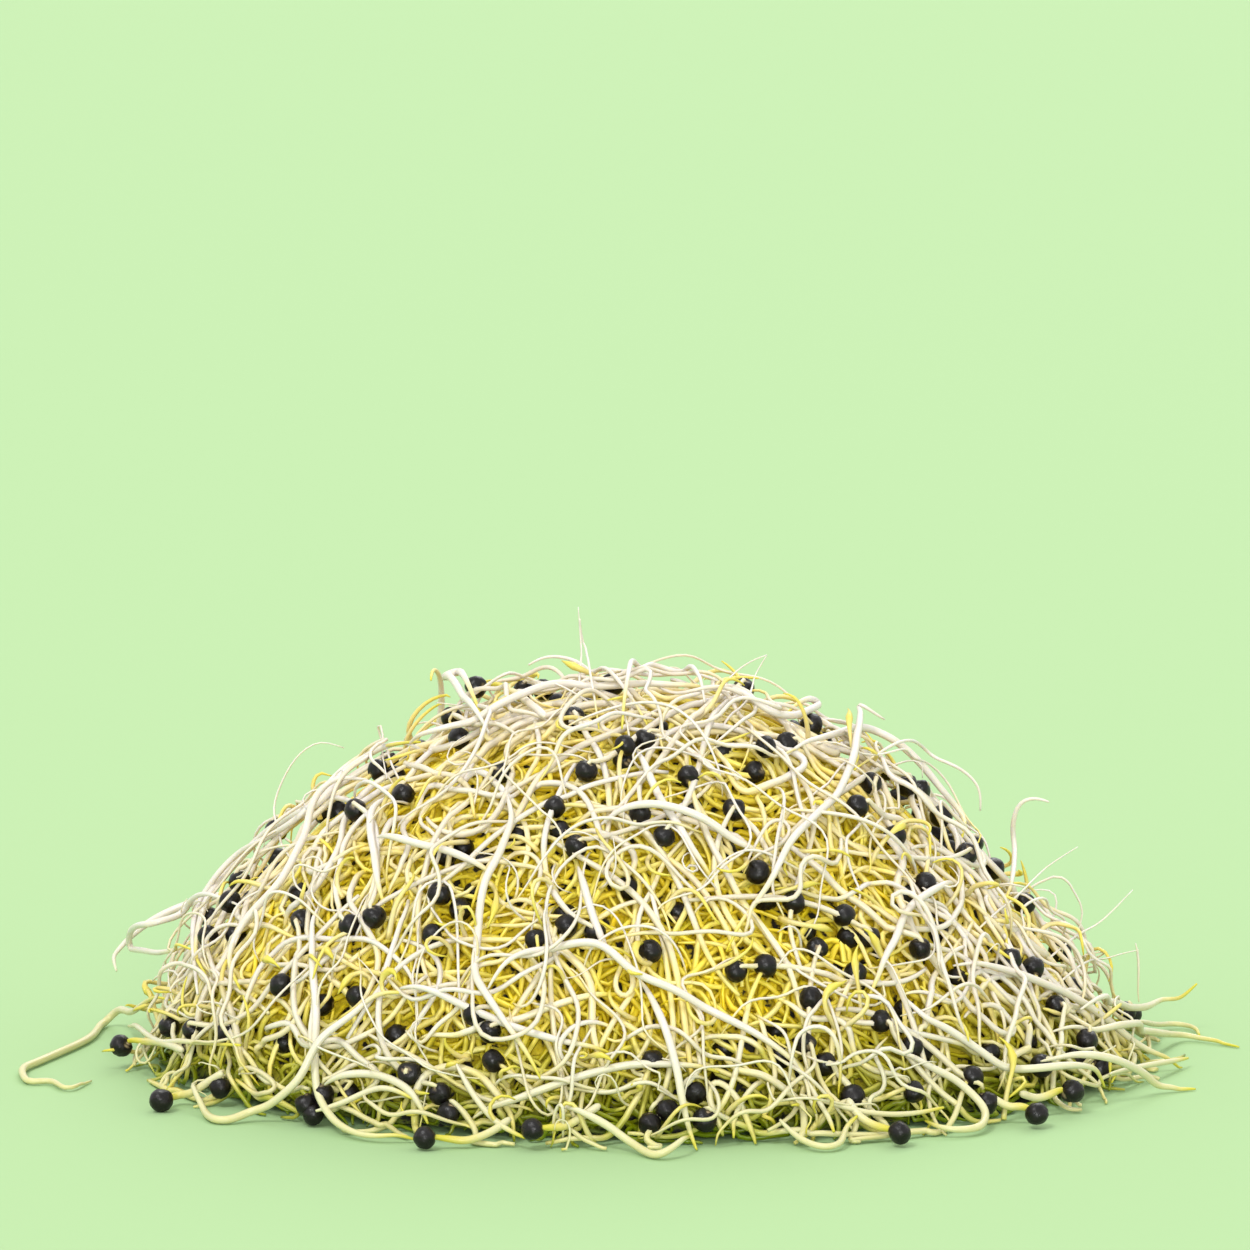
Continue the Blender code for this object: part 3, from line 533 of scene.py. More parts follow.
class Tubes:
    """Many shoots with the same number of sides and stations, gathered into one mesh."""

    def __init__(self, name, sides, stations):
        self.name, self.sides, self.stations = name, sides, stations
        self.lines, self.radii, self.depths, self.leaves, self.tones = [], [], [], [], []

    def add(self, uv, height, radii, leaf, tone, smoothing=0):
        """Adds a shoot along places on the map: leaf says how yellow it is along its length."""
        points = above(uv, height)
        if smoothing:
            points = softened(points, smoothing)
        points[:, 2] = np.maximum(points[:, 2], radii + OFF_GROUND)
        leaf = np.maximum(leaf, FOOT_LEAF * np.exp(-points[:, 2] / FOOT_LEAF_HEIGHT))
        high = (points[:, 2] - YELLOW_MIDDLE) / YELLOW_HALF_HEIGHT
        depth = height + PALER * (1 - np.exp(-((points[:, 0] / YELLOW_HALF_WIDTH) ** 2) - high**2))
        share = np.linspace(0, 1, self.stations)
        known = np.linspace(0, 1, len(points))
        self.lines.append(even(points, self.stations))
        for kept, values in ((self.radii, radii), (self.depths, depth), (self.leaves, leaf)):
            kept.append(np.interp(share, known, values))
        self.tones.append(tone)

    def rings(self):
        """Every ring of every shoot: shoots, stations, sides, coordinates."""
        lines, radii = np.array(self.lines), np.array(self.radii)
        ahead = np.gradient(lines, axis=1)
        ahead /= np.linalg.norm(ahead, axis=2, keepdims=True)
        side = np.cross(ahead[:, 0], (0.31, 0.57, 0.76))
        sides = []
        for i in range(self.stations):
            side = side - ahead[:, i] * (side * ahead[:, i]).sum(1, keepdims=True)
            side = side / np.linalg.norm(side, axis=1, keepdims=True)
            sides.append(side)
        side = np.stack(sides, 1)
        other = np.cross(ahead, side)
        angle = 2 * math.pi * np.arange(self.sides) / self.sides
        out = side[:, :, None] * np.cos(angle)[:, None] + other[:, :, None] * np.sin(angle)[:, None]
        return lines[:, :, None] + radii[:, :, None, None] * out

    def mesh(self):
        """The shoots' mesh, with what their material reads from its points."""
        rings = self.rings()
        count, n, k = rings.shape[:3]
        first = (np.arange(count) * n * k)[:, None, None]
        station = (np.arange(n - 1) * k)[:, None]
        around = np.arange(k)
        after = (around + 1) % k
        corner = first + station + around
        quads = np.stack([corner, first + station + after, corner - around + after + k, corner + k], -1)
        near_cap = first[:, :, 0] + around[::-1]
        far_cap = first[:, :, 0] + (n - 1) * k + around
        loops = np.concatenate([quads.reshape(-1), near_cap.reshape(-1), far_cap.reshape(-1)])
        sizes = np.concatenate([np.full(quads.size // 4, 4), np.full(2 * count, k)])
        mesh = new_mesh(self.name, rings.reshape(-1, 3), loops, sizes)
        grain = np.zeros((count, n, k, 3))
        grain[..., 0] = np.arange(n)[:, None] / n + np.arange(count)[:, None, None] * 3.7
        grain[..., 1] = 0.08 * np.cos(2 * math.pi * around / k)
        grain[..., 2] = 0.08 * np.sin(2 * math.pi * around / k)
        add_values(mesh, "grain", grain.reshape(-1, 3))
        add_values(mesh, "depth", np.repeat(np.array(self.depths).reshape(-1), k))
        add_values(mesh, "leaf", np.repeat(np.array(self.leaves).reshape(-1), k))
        add_values(mesh, "tone", np.repeat(np.array(self.tones), n * k))
        self.add_strips(mesh)
        return mesh

    def add_strips(self, mesh):
        """A texture map in which every shoot is a straight strip with a margin, in columns of strips."""
        count, n, k = len(self.lines), self.stations, self.sides
        columns = max(1, round(math.sqrt(count / STRIP_LENGTH)))
        rows = math.ceil(count / columns)
        shoot = np.arange(count)
        left = (shoot % columns) / columns + 0.03 / columns
        low = (shoot // columns) / rows + 0.10 / rows
        width, height = 0.94 / columns, 0.80 / rows
        u = left[:, None] + width * (0.03 + 0.94 * np.arange(n) / (n - 1))
        v = low[:, None] + height * np.arange(k + 1) / k
        quads = np.zeros((count, n - 1, k, 4, 2))
        for corner, (step, turn) in enumerate([(0, 0), (0, 1), (1, 1), (1, 0)]):
            quads[..., corner, 0] = u[:, step : n - 1 + step, None]
            quads[..., corner, 1] = v[:, None, turn : k + turn]
        angle = 2 * math.pi * np.arange(k) / k
        spot = np.stack([0.010 * width * np.cos(angle), 0.35 * height * np.sin(angle)], -1)
        parts = [quads.reshape(-1, 2)]
        for end in (0.012, 0.988):
            cap = np.stack([left + end * width, low + height / 2], -1)[:, None] + spot
            parts.append(cap.reshape(-1, 2))
        mesh.uv_layers.new(name="OFBake").data.foreach_set("uv", np.concatenate(parts).reshape(-1))


def new_mesh(name, points, loops, sizes):
    """A smooth mesh from points in millimetres, the corners of its faces and how many each face has."""
    mesh = bpy.data.meshes.new(name)
    mesh.vertices.add(len(points))
    mesh.vertices.foreach_set("co", (points * METRES).astype(np.float32).reshape(-1))
    mesh.loops.add(len(loops))
    mesh.loops.foreach_set("vertex_index", loops.astype(np.int32))
    mesh.polygons.add(len(sizes))
    mesh.polygons.foreach_set("loop_start", np.append(0, np.cumsum(sizes)[:-1]).astype(np.int32))
    mesh.update(calc_edges=True)
    mesh.shade_smooth()
    return mesh


def add_values(mesh, name, values):
    """Gives every point of a mesh a number or a vector that a material can read."""
    kind, field = ("FLOAT", "value") if values.ndim == 1 else ("FLOAT_VECTOR", "vector")
    data = mesh.attributes.new(name, kind, "POINT").data
    data.foreach_set(field, values.astype(np.float32).reshape(-1))


def ring_faces(rings, sides):
    """Faces of a form of rings between a point at its top and one at its bottom: top, sides and bottom."""
    side = np.arange(sides)
    after = (side + 1) % sides
    ring = 1 + sides * np.arange(rings - 1)[:, None]
    below = ring + sides
    top = np.stack([np.zeros(sides, int), 1 + side, 1 + after], -1)
    quads = np.stack([ring + side, below + side, below + after, ring + after], -1).reshape(-1, 4)
    bottom = np.stack([np.full(sides, below[-1] + sides), below[-1] + after, below[-1] + side], -1)
    return top, quads, bottom


def new_object(name, data):
    made = bpy.data.objects.new(name, data)
    bpy.context.scene.collection.objects.link(made)
    return made


def add_piece(mesh, surface, replaced=()):
    """Adds one piece of the part, which stands for the solids that it replaces."""
    mesh.materials.append(surface)
    piece = new_object(mesh.name, mesh)
    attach(piece, "root")
    if replaced:
        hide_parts(*replaced)


def solids(prefix):
    return [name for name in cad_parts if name.startswith(prefix)]


def linear(*screen):
    """A colour given as on screen, from 0 to 255, in the linear values that shaders take."""
    lit = [((c / 255 + 0.055) / 1.055) ** 2.4 if c > 10 else c / 255 / 12.92 for c in screen]
    return (*lit, 1)


def ramp(tree, source, stops):
    """A colour ramp over source, from (position, colour on screen) stops."""
    node = tree.nodes.new("ShaderNodeValToRGB")
    elements = node.color_ramp.elements
    while len(elements) < len(stops):
        elements.new(0.5)
    for element, (position, colour) in zip(elements, stops):
        element.position = position
        element.color = linear(*colour)
    tree.links.new(source, node.inputs["Fac"])
    return node.outputs["Color"]


def ranged(tree, source, low, high, new_low=0.0, new_high=1.0):
    node = tree.nodes.new("ShaderNodeMapRange")
    tree.links.new(source, node.inputs["Value"])
    for socket, value in zip(("From Min", "From Max", "To Min", "To Max"), (low, high, new_low, new_high)):
        node.inputs[socket].default_value = value
    return node.outputs["Result"]


def mixed_colour(tree, share, first, second, blend="MIX"):
    """A mix of two colours. These and the share of the second are fixed values or sockets."""
    node = tree.nodes.new("ShaderNodeMix")
    node.data_type = "RGBA"
    node.blend_type = blend
    for socket, value in ((node.inputs[0], share), (node.inputs[6], first), (node.inputs[7], second)):
        if isinstance(value, bpy.types.NodeSocket):
            tree.links.new(value, socket)
        else:
            socket.default_value = value
    return node.outputs[2]


def multiplied(tree, share, colour, tint):
    return mixed_colour(tree, share, colour, tint, "MULTIPLY")


def attribute(tree, name, output="Fac"):
    node = tree.nodes.new("ShaderNodeAttribute")
    node.attribute_name = name
    return node.outputs[output]


def object_place(tree):
    return tree.nodes.new("ShaderNodeTexCoord").outputs["Object"]


def near_ground(tree, place, height):
    """How near to the ground a place is, from nothing at a height in metres to one on the ground."""
    parts = tree.nodes.new("ShaderNodeSeparateXYZ")
    tree.links.new(place, parts.inputs["Vector"])
    return ranged(tree, parts.outputs["Z"], height, 0.001)


def noise(tree, vector, scale, detail=3.0):
    node = tree.nodes.new("ShaderNodeTexNoise")
    node.inputs["Scale"].default_value = scale
    node.inputs["Detail"].default_value = detail
    tree.links.new(vector, node.inputs["Vector"])
    return node.outputs["Fac"]


def bump(tree, surface, height, strength, distance):
    node = tree.nodes.new("ShaderNodeBump")
    node.inputs["Strength"].default_value = strength
    node.inputs["Distance"].default_value = distance
    tree.links.new(height, node.inputs["Height"])
    tree.links.new(node.outputs["Normal"], surface.inputs["Normal"])


def new_material(name):
    made = bpy.data.materials.new(name)
    made.use_nodes = True
    return made, made.node_tree, made.node_tree.nodes["Principled BSDF"]


def shoot_material():
    """Moist white shoots, yellow towards the seed leaf and down in the heap, and faintly streaked. Down in
    the heap the yellow is brightened as a painted glow of light passing through the shoots. Near the ground
    the shoots carry painted shade tinted green by the floor.
    """
    made, tree, surface = new_material("shoot")
    depth = attribute(tree, "depth")
    streaks = noise(tree, attribute(tree, "grain", "Vector"), 26.0)
    place = object_place(tree)
    blotches = noise(tree, place, 190.0, 2.0)
    along = ramp(tree, attribute(tree, "leaf"), ALONG_SHOOT)
    # Deep in the heap: the shoots' own yellow, brightened as a painted glow of light passing through them.
    up = ramp(tree, ranged(tree, depth, -CORE_DEPTH, 0.2), UP_FROM_INSIDE_WITH_PAINTED_GLOW)
    colour = multiplied(tree, 1.0, along, up)
    warm = ranged(tree, attribute(tree, "tone"), 0, 1, 0, 0.30)
    colour = multiplied(tree, warm, colour, linear(248, 232, 160))
    streaked = ranged(tree, streaks, 0.35, 0.70, 0, 0.12)
    colour = multiplied(tree, streaked, colour, linear(236, 214, 140))
    spotted = ranged(tree, blotches, 0.5, 0.75, 0, 0.15)
    colour = multiplied(tree, spotted, colour, linear(240, 228, 150))
    # Painted floor light and shade near the ground: a green tint on the top shoots, and darker green shade on
    # buried ones.
    buried = ranged(tree, depth, -0.2, -2.0)
    painted_floor_bounce_and_shade = mixed_colour(tree, buried, linear(236, 242, 208), linear(116, 150, 38))
    colour = multiplied(tree, near_ground(tree, place, 0.014), colour, painted_floor_bounce_and_shade)
    tree.links.new(colour, surface.inputs["Base Color"])
    tree.links.new(ranged(tree, streaks, 0.3, 0.7, 0.26, 0.44), surface.inputs["Roughness"])
    surface.inputs["Subsurface Weight"].default_value = 0.25
    surface.inputs["Subsurface Radius"].default_value = (1.0, 0.85, 0.40)
    surface.inputs["Subsurface Scale"].default_value = 0.0005
    surface.inputs["IOR"].default_value = 1.42
    bump(tree, surface, streaks, 0.25, 0.00012)
    return made


def inside_material():
    """The heap's inside between the shoots: bright yellow, partly the shoots' colour and partly a painted
    glow, with dark patches of painted shade in the gaps, and painted shade tinted green by the floor near the
    ground.
    """
    made, tree, surface = new_material("heap_inside")
    place = object_place(tree)
    lumps = noise(tree, place, 600.0)
    # Near the ground: painted shade tinted green by the floor.
    ground = near_ground(tree, place, 0.010)
    # The gaps' painted shade and painted glow, with painted shade tinted green by the floor near the ground.
    colour = multiplied(tree, ground, ramp(tree, lumps, GAPS_PAINTED_SHADE_AND_GLOW), linear(96, 124, 40))
    tree.links.new(colour, surface.inputs["Base Color"])
    surface.inputs["Roughness"].default_value = 0.7
    bump(tree, surface, lumps, 0.8, 0.001)
    return made


def seed_material():
    """The black seed coat: a dry, finely wrinkled skin with a soft shine, and a pale slit at its shoot."""
    made, tree, surface = new_material("seed_coat")
    wrinkles = noise(tree, object_place(tree), 1900.0, 4.0)
    skin = ramp(tree, wrinkles, OVER_SEED)
    colour = mixed_colour(tree, attribute(tree, "slit"), skin, linear(214, 190, 150))
    tree.links.new(colour, surface.inputs["Base Color"])
    tree.links.new(ranged(tree, wrinkles, 0.3, 0.8, 0.26, 0.50), surface.inputs["Roughness"])
    surface.inputs["Specular IOR Level"].default_value = 0.34
    bump(tree, surface, wrinkles, 0.45, 0.00025)
    return made


def floor_material():
    made, tree, surface = new_material("floor")
    shade = ranged(tree, noise(tree, object_place(tree), 3.0), 0.2, 0.8, 0, 0.04)
    colour = mixed_colour(tree, shade, linear(162, 193, 142), linear(158, 189, 138))
    tree.links.new(colour, surface.inputs["Base Color"])
    surface.inputs["Roughness"].default_value = 0.85
    surface.inputs["Specular IOR Level"].default_value = 0.1
    return made


def taper(count, radius, thin, root=0.25, leaf=0.30):
    """Radii along a sprout, which tapers to its root and to its seed leaf."""
    share = np.linspace(0, 1, count)
    rise = np.minimum(np.clip(share / root, 0, 1), np.clip((1 - share) / leaf, 0, 1))
    return thin + (radius - thin) * rise**0.7


def leaf_share(count, start):
    """How yellow a sprout is along its length: not at all up to start, and fully at its tip."""
    return np.clip((np.linspace(0, 1, count) - start) / (1 - start), 0, 1)


def sunk(height, at_root, at_leaf, reach=4):
    """Heights along a shoot whose ends go down into the heap."""
    steps = np.arange(len(height))
    root = np.clip(1 - steps / reach, 0, 1) ** 1.5
    return height - at_root * root - at_leaf * root[::-1]


def unit_ball():
    """Points of a ball: its top, its rings and its bottom."""
    polar = math.pi * np.arange(1, SEED_RINGS + 1) / (SEED_RINGS + 1)
    turn = 2 * math.pi * np.arange(SEED_SIDES) / SEED_SIDES
    grid = np.stack([
        np.outer(np.sin(polar), np.cos(turn)),
        np.outer(np.sin(polar), np.sin(turn)),
        np.outer(np.cos(polar), np.ones(SEED_SIDES)),
    ], -1).reshape(-1, 3)
    return np.vstack([[[0, 0, 1]], grid, [[0, 0, -1]]])


def seed_shape(rng, ball, towards):
    """Points of a seed coat round its middle, and how far each is in the slit that faces its shoot."""
    flats = rng.normal(size=(FLAT_SIDES, 3))
    flats /= np.linalg.norm(flats, axis=1, keepdims=True)
    reach = rng.uniform(0.84, 0.96, FLAT_SIDES)
    size = (1 + ((np.maximum(ball @ flats.T, 0) / reach) ** FLATNESS).sum(1)) ** (-1 / FLATNESS)
    wrinkle = 1 + 0.02 * np.sin(ball @ rng.normal(0, 9, 3) + rng.uniform(0, 6))
    toward = towards / np.linalg.norm(towards)
    cross = np.cross(toward, rng.normal(size=3))
    cross /= np.linalg.norm(cross)
    third = np.cross(toward, cross)
    slit = np.exp(-((ball @ cross) / 0.60) ** 2 - ((ball @ third) / 0.20) ** 2) * (ball @ toward > 0)
    size = size * wrinkle * (1 - 0.22 * slit)
    return ball * size[:, None] * SEED_RADIUS * rng.uniform(0.93, 1.03), np.clip(1.6 * slit - 0.75, 0, 1)


def add_seeds(rng, places, directions, name, surface, replaced=()):
    """Adds seed coats as one piece, each with its slit in the direction of its shoot."""
    ball = unit_ball()
    top, quads, bottom = ring_faces(SEED_RINGS, SEED_SIDES)
    points, slits = [], []
    for place, towards in zip(places, directions):
        shape, slit = seed_shape(rng, ball, towards)
        points.append(place + shape)
        slits.append(slit)
    start = (np.arange(len(points)) * len(ball))[:, None]
    loops = np.concatenate([(start + part.reshape(-1)).reshape(-1) for part in (quads, top, bottom)])
    sizes = np.repeat([4, 3], [len(points) * len(quads), len(points) * 2 * SEED_SIDES])
    mesh = new_mesh(name, np.concatenate(points), loops, sizes)
    add_values(mesh, "slit", np.concatenate(slits))
    add_piece(mesh, surface, replaced)


def add_inside(surface):
    """The heap's inside: a lumpy dome below the shoots."""
    azimuth = 2 * math.pi * np.arange(AZIMUTHS) / AZIMUTHS
    share = np.linspace(0, 1, CORE_ROWS + 1)[1:]
    foot = FOOT_ROWS - CORE_INSET
    uv = np.stack([np.cos(azimuth), np.sin(azimuth)], -1)[None] * (share[:, None] * foot)[..., None]
    lumps = 0.6 * np.sin(uv[..., 0] * 0.9) * np.sin(uv[..., 1] * 0.8) - CORE_DEPTH
    points = above(uv, lumps)
    points[..., 2] = np.maximum(points[..., 2], 0.8)
    top = above(np.zeros((1, 2)), [-CORE_DEPTH])
    under = points[-1] * (0.9, 0.9, 0) + (0, 0, 0.3)
    all_points = np.concatenate([top, points.reshape(-1, 3), under, [[0, 0, 0.3]]])
    faces = ring_faces(CORE_ROWS + 1, AZIMUTHS)
    loops = np.concatenate([part.reshape(-1) for part in faces])
    sizes = np.concatenate([np.full(len(part), part.shape[1]) for part in faces])
    mesh = new_mesh("heap_inside", all_points, loops, sizes)
    add_piece(mesh, surface, ["tangle"])


def lowest_route(rng, pile):
    """Of a few random routes, the one over the lowest part of the pile."""
    routes = []
    while len(routes) < ROUTES_TRIED:
        uv = roaming(rng, rng.uniform(30, 60), anywhere(rng))
        if len(uv) > 14:
            routes.append(uv)
    return min(routes, key=lambda uv: pile[cells(uv)].mean())


def clear_of(uv, seeds):
    """A route pushed aside where it would run over a seed coat."""
    for _ in range(2):
        away = uv[:, None] - seeds[None]
        distance = np.linalg.norm(away, axis=2)
        near = distance.argmin(1)
        least = distance[np.arange(len(uv)), near]
        push = np.maximum(SEED_GAP - least, 0) / np.maximum(least, 1e-6)
        pushed = uv + away[np.arange(len(uv)), near] * push[:, None]
        uv = np.stack([averaged(pushed[:, 0]), averaged(pushed[:, 1])], 1)
    return uv


def fill(rng, pile, tubes, level, limit, radius, bend_radius, seeds=None):
    """Lays shoots where the pile is lowest, round any seeds given, until it stands at level on average."""
    over = (foot_share(map_grid().reshape(-1, 2)) < 0.85).reshape(MAP_SIDE, MAP_SIDE)
    count = 0
    while count < MOST_SHOOTS and (count % 20 or pile[over].mean() < level):
        count += 1
        uv = lowest_route(rng, pile)
        if seeds is not None:
            uv = clear_of(uv, seeds)
        thick = radius * rng.uniform(0.75, 1.20)
        if seeds is not None and count % 3 == 0:
            thick = rng.uniform(0.42, 0.52)
        radii = taper(len(uv), thick, 0.15, rng.uniform(0.1, 0.3), rng.uniform(0.15, 0.35))
        height = lay(pile, uv, thick, -0.18, bend_radius=bend_radius, reach=0.9 * thick)
        height += 0.35 * swaying(rng, np.arange(len(uv)), 0.4, 0.9)
        place = face(uv)
        dip = RIDGE_DIP + END_DIP * np.clip(np.abs(place[:, 0]) / 50, 0, 1)
        dip = dip * np.exp(-(((place[:, 1] - RIDGE_DEPTH) / RIDGE_WIDTH) ** 2))
        height = np.minimum(height, limit - dip)
        height = sunk(height, rng.uniform(0, 1.5), rng.uniform(0, 1.5))
        leaf = leaf_share(len(uv), rng.uniform(0.45, 0.85)) * rng.uniform(0.5, 1.0)
        tubes.add(uv, height, radii, leaf, rng.uniform())


def add_buried_seeds(rng, pile, surface):
    places = 0.92 * np.array([anywhere(rng) for _ in range(BURIED_SEEDS)])
    heights = pile[cells(places)] + SEED_RADIUS
    directions = rng.normal(size=(BURIED_SEEDS, 3))
    points = above(places, np.minimum(heights, -2.6))
    points[:, 2] = np.maximum(points[:, 2], SEED_RADIUS + 0.2)
    add_seeds(rng, points, directions, "buried_seed_coats", surface)
    mark(pile, places, heights + SEED_RADIUS, 0.9)


def add_hooked_sprout(rng, pile, tubes, seed, height, middle):
    """Lays the sprout of a seed coat, and returns the direction in which it leaves the coat's middle."""
    route = wandering(rng, rng.uniform(24, 44))
    route = drawn_in(route - route[0] + seed, 0.98)
    share = np.linspace(0, 1, len(route))
    radii = taper(len(route), rng.uniform(0.34, 0.46), 0.24, 0.22, 0.3)
    laid = np.minimum(lay(pile, route, 0.4, -0.05, bend_radius=9.0, reach=0.5), -0.3)
    hooked = rng.uniform() < 0.6
    rise = SEED_RADIUS if hooked else 0.0
    hook = [height + 0.55 * rise, height + 0.9 * rise, height + 0.5 * rise, laid[5]]
    laid[:5] = np.interp(np.arange(5), [0, 1, 2, 5], hook)
    tubes.add(route, laid, radii, 0.9 * (1 - share) ** 6 * (0.3 if hooked else 1), rng.uniform())
    return above(route[1:2], laid[1:2])[0] - middle


def add_front_seeds(rng, pile, tubes, surface):
    """The seed coats that show, with their sprouts. Returns their places on the map."""
    front = np.array([seen_at(pixel, 0)[:2] for pixel in pixels(FRONT_SEEDS)])
    others = []
    while len(others) < OTHER_SEEDS:
        uv = wandering(rng, 3.0)[0]
        if face(uv)[1] > -10:
            others.append(uv)
    seeds = drawn_in(np.vstack([front, others]), 1.04)
    heights = np.maximum(pile[cells(seeds)] + 0.7 * SEED_RADIUS, rng.uniform(-1.1, -0.1, len(seeds)))
    heights = np.minimum(heights, 0.2)
    apart = np.linalg.norm(seeds[:, None] - seeds[None], axis=2)
    apart += 99 * np.triu(np.ones(apart.shape))
    heights = np.where(apart.min(1) < 2.7, -2.5, heights)
    points = above(seeds, heights)
    points[:, 2] = np.maximum(points[:, 2], SEED_RADIUS)
    directions = [add_hooked_sprout(rng, pile, tubes, *seed) for seed in zip(seeds, heights, points)]
    mark(pile, seeds, heights + 0.8 * SEED_RADIUS, SEED_RADIUS)
    add_seeds(rng, points, directions, "seed_coats", surface)
    return seeds


def add_loose(rng, pile, tubes, seeds):
    """Thin shoots and root hairs that arch clear of the heap: they make its outline lacy."""
    for _ in range(LOOSE_SHOOTS):
        uv = roaming(rng, rng.uniform(22, 48), anywhere(rng))
        if len(uv) < 12:
            continue
        uv = clear_of(uv, seeds)
        share = np.linspace(0, 1, len(uv))
        rise = rng.uniform(0.8, 3.8) * np.sin(math.pi * share) ** rng.uniform(0.7, 1.6)
        rise += 0.5 * swaying(rng, np.arange(len(uv)), 0.3, 0.8)
        height = sunk(np.maximum(pile[cells(uv)].mean(), -1.4) + rise, 1.0, 1.0)
        thick = rng.uniform(0.14, 0.34)
        radii = taper(len(uv), thick, 0.09, rng.uniform(0.2, 0.5), 0.3)
        leaf = leaf_share(len(uv), rng.uniform(0.5, 0.85)) * rng.uniform(0.6, 1.0)
        tubes.add(uv, height, radii, leaf, rng.uniform())
    for course in HAIRS:
        line = seen_line(course, 1.0)
        height = sunk(line[:, 2], 2.5, 0.0)
        tubes.add(line[:, :2], height, taper(len(line), 0.17, 0.07, 0.05, 0.6), np.zeros(len(line)), 0.2)


def add_free_tips(rng, tubes):
    """Short ends that stand out of the heap: yellow seed leaves, some with a bud, and white root hairs."""
    for i in range(FREE_TIPS):
        uv = roaming(rng, rng.uniform(5, 12), anywhere(rng), 0.30)
        if len(uv) < 5:
            continue
        share = np.linspace(0, 1, len(uv))
        height = -1.8 + rng.uniform(2.4, 5.2) * np.sin(rng.uniform(1.1, 2.9) * share)
        if i % 3:
            radii = 0.08 + rng.uniform(0.22, 0.34) * (1 - share) ** 0.5
            if i % 5 == 0:
                radii = radii + 0.38 * np.exp(-((share - 0.72) / 0.10) ** 2)
            leaf = np.clip(0.35 + 0.6 * share, 0, 1)
        else:
            radii = 0.06 + 0.14 * (1 - share)
            leaf = np.zeros(len(uv))
        tubes.add(uv, height, radii, leaf, rng.uniform())


def long_routes():
    """Name and smooth route of each long sprout, in the order in which they are laid."""
    routes = {name: seen_line(course, ROUTE_STEP) for name, course in LONG_SPROUTS.items()}
    rng = np.random.default_rng(ROUTE_SEED)
    rng.normal(size=(len(SEEDED_SPROUTS), 4))  # the turns of their seed coats, which come first
    made = 0
    while made < BACK_SPROUTS:
        uv = wandering(rng, rng.uniform(46, 62))
        if face(uv)[:, 1].min() > 4:
            made += 1
            places = np.column_stack([uv[::6], np.zeros(len(uv[::6]))])
            routes[f"back_{made:02d}"] = smooth_line(places, ROUTE_STEP)
    return routes


def add_seeded_sprouts(rng, top, shoot, coat):
    """The sprouts that reach out with a seed coat on the tip, and those seed coats."""
    tubes, places, directions = Tubes("seeded_sprouts", 8, 40), [], []
    for course in SEEDED_SPROUTS.values():
        *lying, tip = pixels(course)
        route = np.array([*map(seen_at, lying), seen_at(tip, SEED_RADIUS)])
        seed = route[-1]
        seed[2] = max(top[cells(seed[None, :2])][0] + SEED_RADIUS + CLEARANCE, seed[2])
        line = smooth_line(route, ROUTE_STEP)
        lift = np.interp(np.arange(len(line)), [len(line) - 16, len(line) - 3], [0, seed[2]])
        height = lay(top, line[:-2, :2], THINNEST_RADIUS + 0.1, CLEARANCE, lift[:-2])
        mark(top, seed[None, :2], seed[2] + SEED_RADIUS, SEED_RADIUS + SHOOT_RADIUS + CLEARANCE)
        radii = taper(len(height), SHOOT_RADIUS, 0.26, 0.05)
        tubes.add(line[:-2, :2], height, radii, leaf_share(len(height), 0.1), 0.3)
        places.append(above(seed[:2], seed[2]))
        directions.append(above(line[-12, :2], height[-10]) - places[-1])
    add_piece(tubes.mesh(), shoot, solids("seeded_"))
    add_seeds(rng, places, directions, "outlying_seed_coats", coat, solids("seed_coat"))


def add_long_sprouts(rng, top, surface):
    """The long sprouts on top of the heap, and the shorter ones that stand off its outline."""
    tubes = Tubes("long_sprouts", 8, 100)
    for name, line in long_routes().items():
        height = lay(top, line[:, :2], SHOOT_RADIUS, CLEARANCE, line[:, 2])
        height = softened(height[:, None], 2)[:, 0]
        height = sunk(height, 1.4 * (line[0, 2] < 1), 1.4 * (line[-1, 2] < 1), 8)
        radii = taper(len(line), THIN_SPROUTS.get(name, SHOOT_RADIUS), 0.12)
        tubes.add(line[:, :2], height, radii, leaf_share(len(line), 0.8), rng.uniform(0, 0.3), 2)
    for course in FREE_SHOOTS:
        line = seen_line(course, 1.0)
        radii = taper(len(line), rng.uniform(0.30, 0.42), 0.16)
        leaf = leaf_share(len(line), 0.7)
        tubes.add(line[:, :2], line[:, 2] + LYING_HEIGHT, radii, leaf, rng.uniform(0, 0.5))
    add_piece(tubes.mesh(), surface, solids("sprout_"))


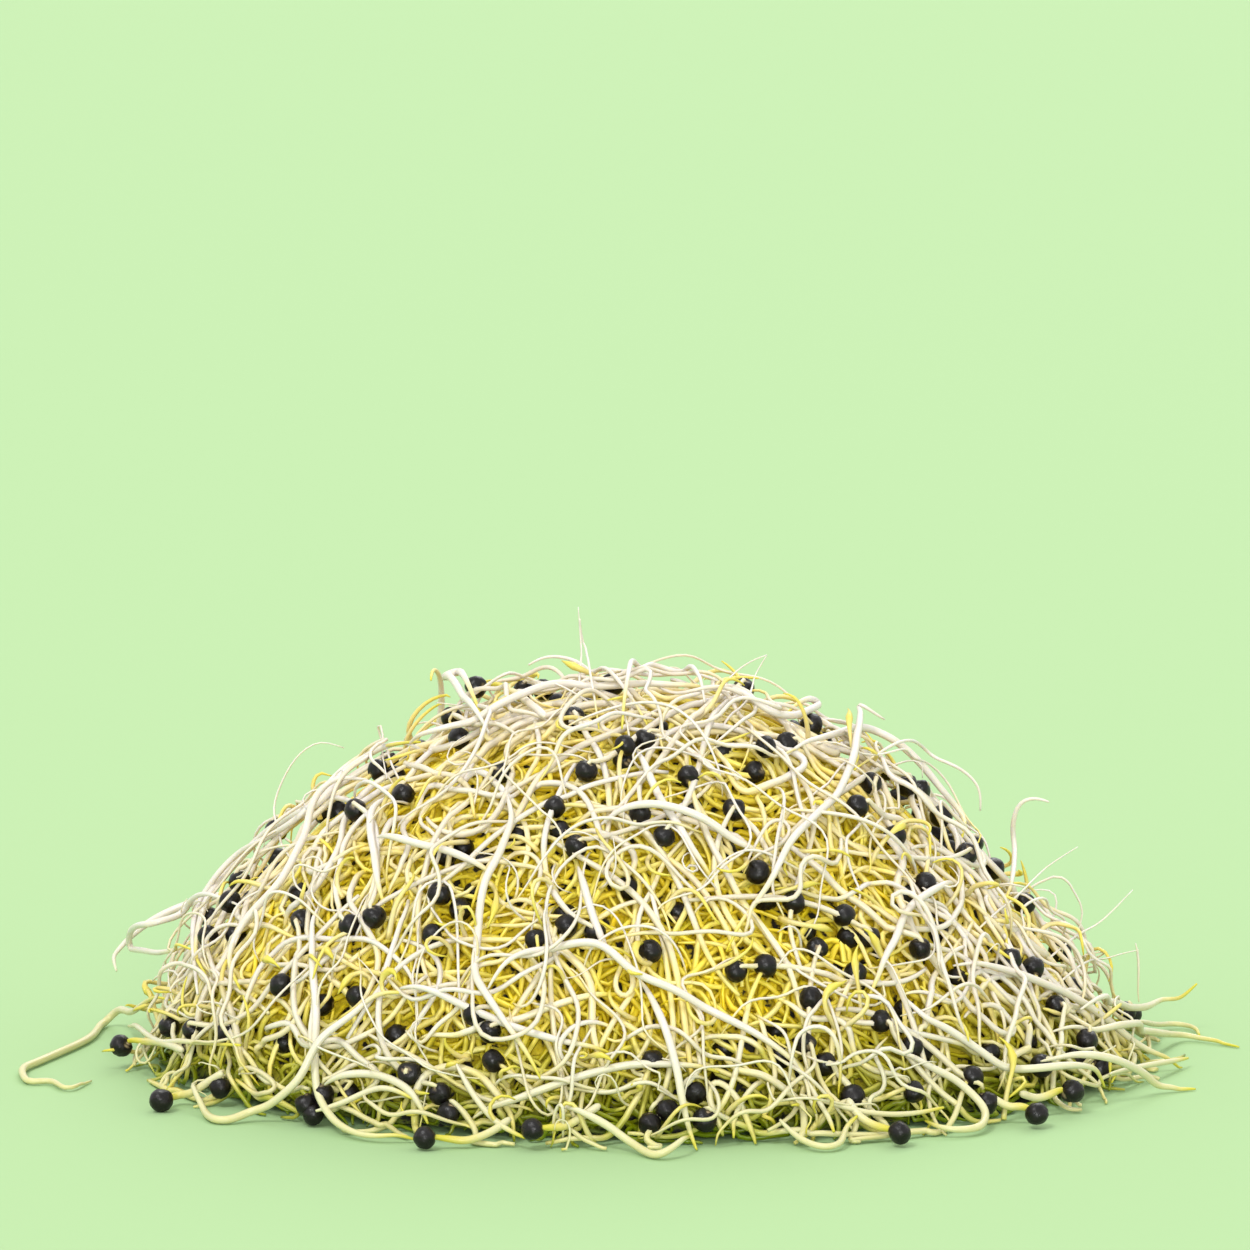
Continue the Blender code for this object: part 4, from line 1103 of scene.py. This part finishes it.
def add_heap():
    """The whole heap. The order of its layers is also the order of the random draws."""
    rng = np.random.default_rng(FILL_SEED)
    shoot, inside, coat = shoot_material(), inside_material(), seed_material()
    deep, middle = Tubes("deep_sprouts", 4, 20), Tubes("middle_sprouts", 4, 28)
    outer, loose = Tubes("outer_sprouts", 5, 38), Tubes("loose_sprouts", 5, 32)
    tips = Tubes("free_tips", 5, 12)
    add_inside(inside)
    pile = bare_pile()
    fill(rng, pile, deep, **DEEP)
    add_buried_seeds(rng, pile, coat)
    fill(rng, pile, middle, **MIDDLE)
    seeds = add_front_seeds(rng, pile, outer, coat)
    fill(rng, pile, outer, **OUTER, seeds=seeds)
    add_loose(rng, pile, loose, seeds)
    add_free_tips(rng, tips)
    for tubes in (deep, loose, tips, middle, outer):
        add_piece(tubes.mesh(), shoot)
    top = np.full((MAP_SIDE, MAP_SIDE), -CLEARANCE)
    add_seeded_sprouts(rng, top, shoot, coat)
    add_long_sprouts(rng, top, shoot)


def add_floor():
    mesh = bpy.data.meshes.new("floor")
    corners = [(-1, -1), (1, -1), (1, 1), (-1, 1)]
    mesh.from_pydata([(x * FLOOR_REACH, y * FLOOR_REACH, 0) for x, y in corners], [], [(0, 1, 2, 3)])
    mesh.materials.append(floor_material())
    floor = new_object("floor", mesh)


def add_light():
    world = bpy.data.worlds.new("studio")
    world.use_nodes = True
    background = world.node_tree.nodes["Background"]
    background.inputs["Color"].default_value = (1, 1, 1, 1)
    background.inputs["Strength"].default_value = WORLD_STRENGTH
    bpy.context.scene.world = world
    bpy.context.scene.view_settings.view_transform = "Standard"
    for name, (turn, tilt, size, strength) in SUNS.items():
        light = bpy.data.lights.new(name, "SUN")
        light.angle = math.radians(size)
        light.energy = strength
        new_object(name, light).rotation_euler = (math.radians(tilt), 0, math.radians(turn))


def add_camera():
    camera = new_object("camera", bpy.data.cameras.new("camera"))
    camera.data.sensor_width = SENSOR
    camera.data.lens = FOCAL_PIXELS / FRAME_PIXELS * SENSOR
    camera.data.clip_end = 20
    camera.location = camera_place() * METRES
    camera.rotation_euler = (math.pi / 2 - CAMERA_PITCH, 0, 0)
    bpy.context.scene.camera = camera


add_heap()
add_floor()
add_light()
add_camera()
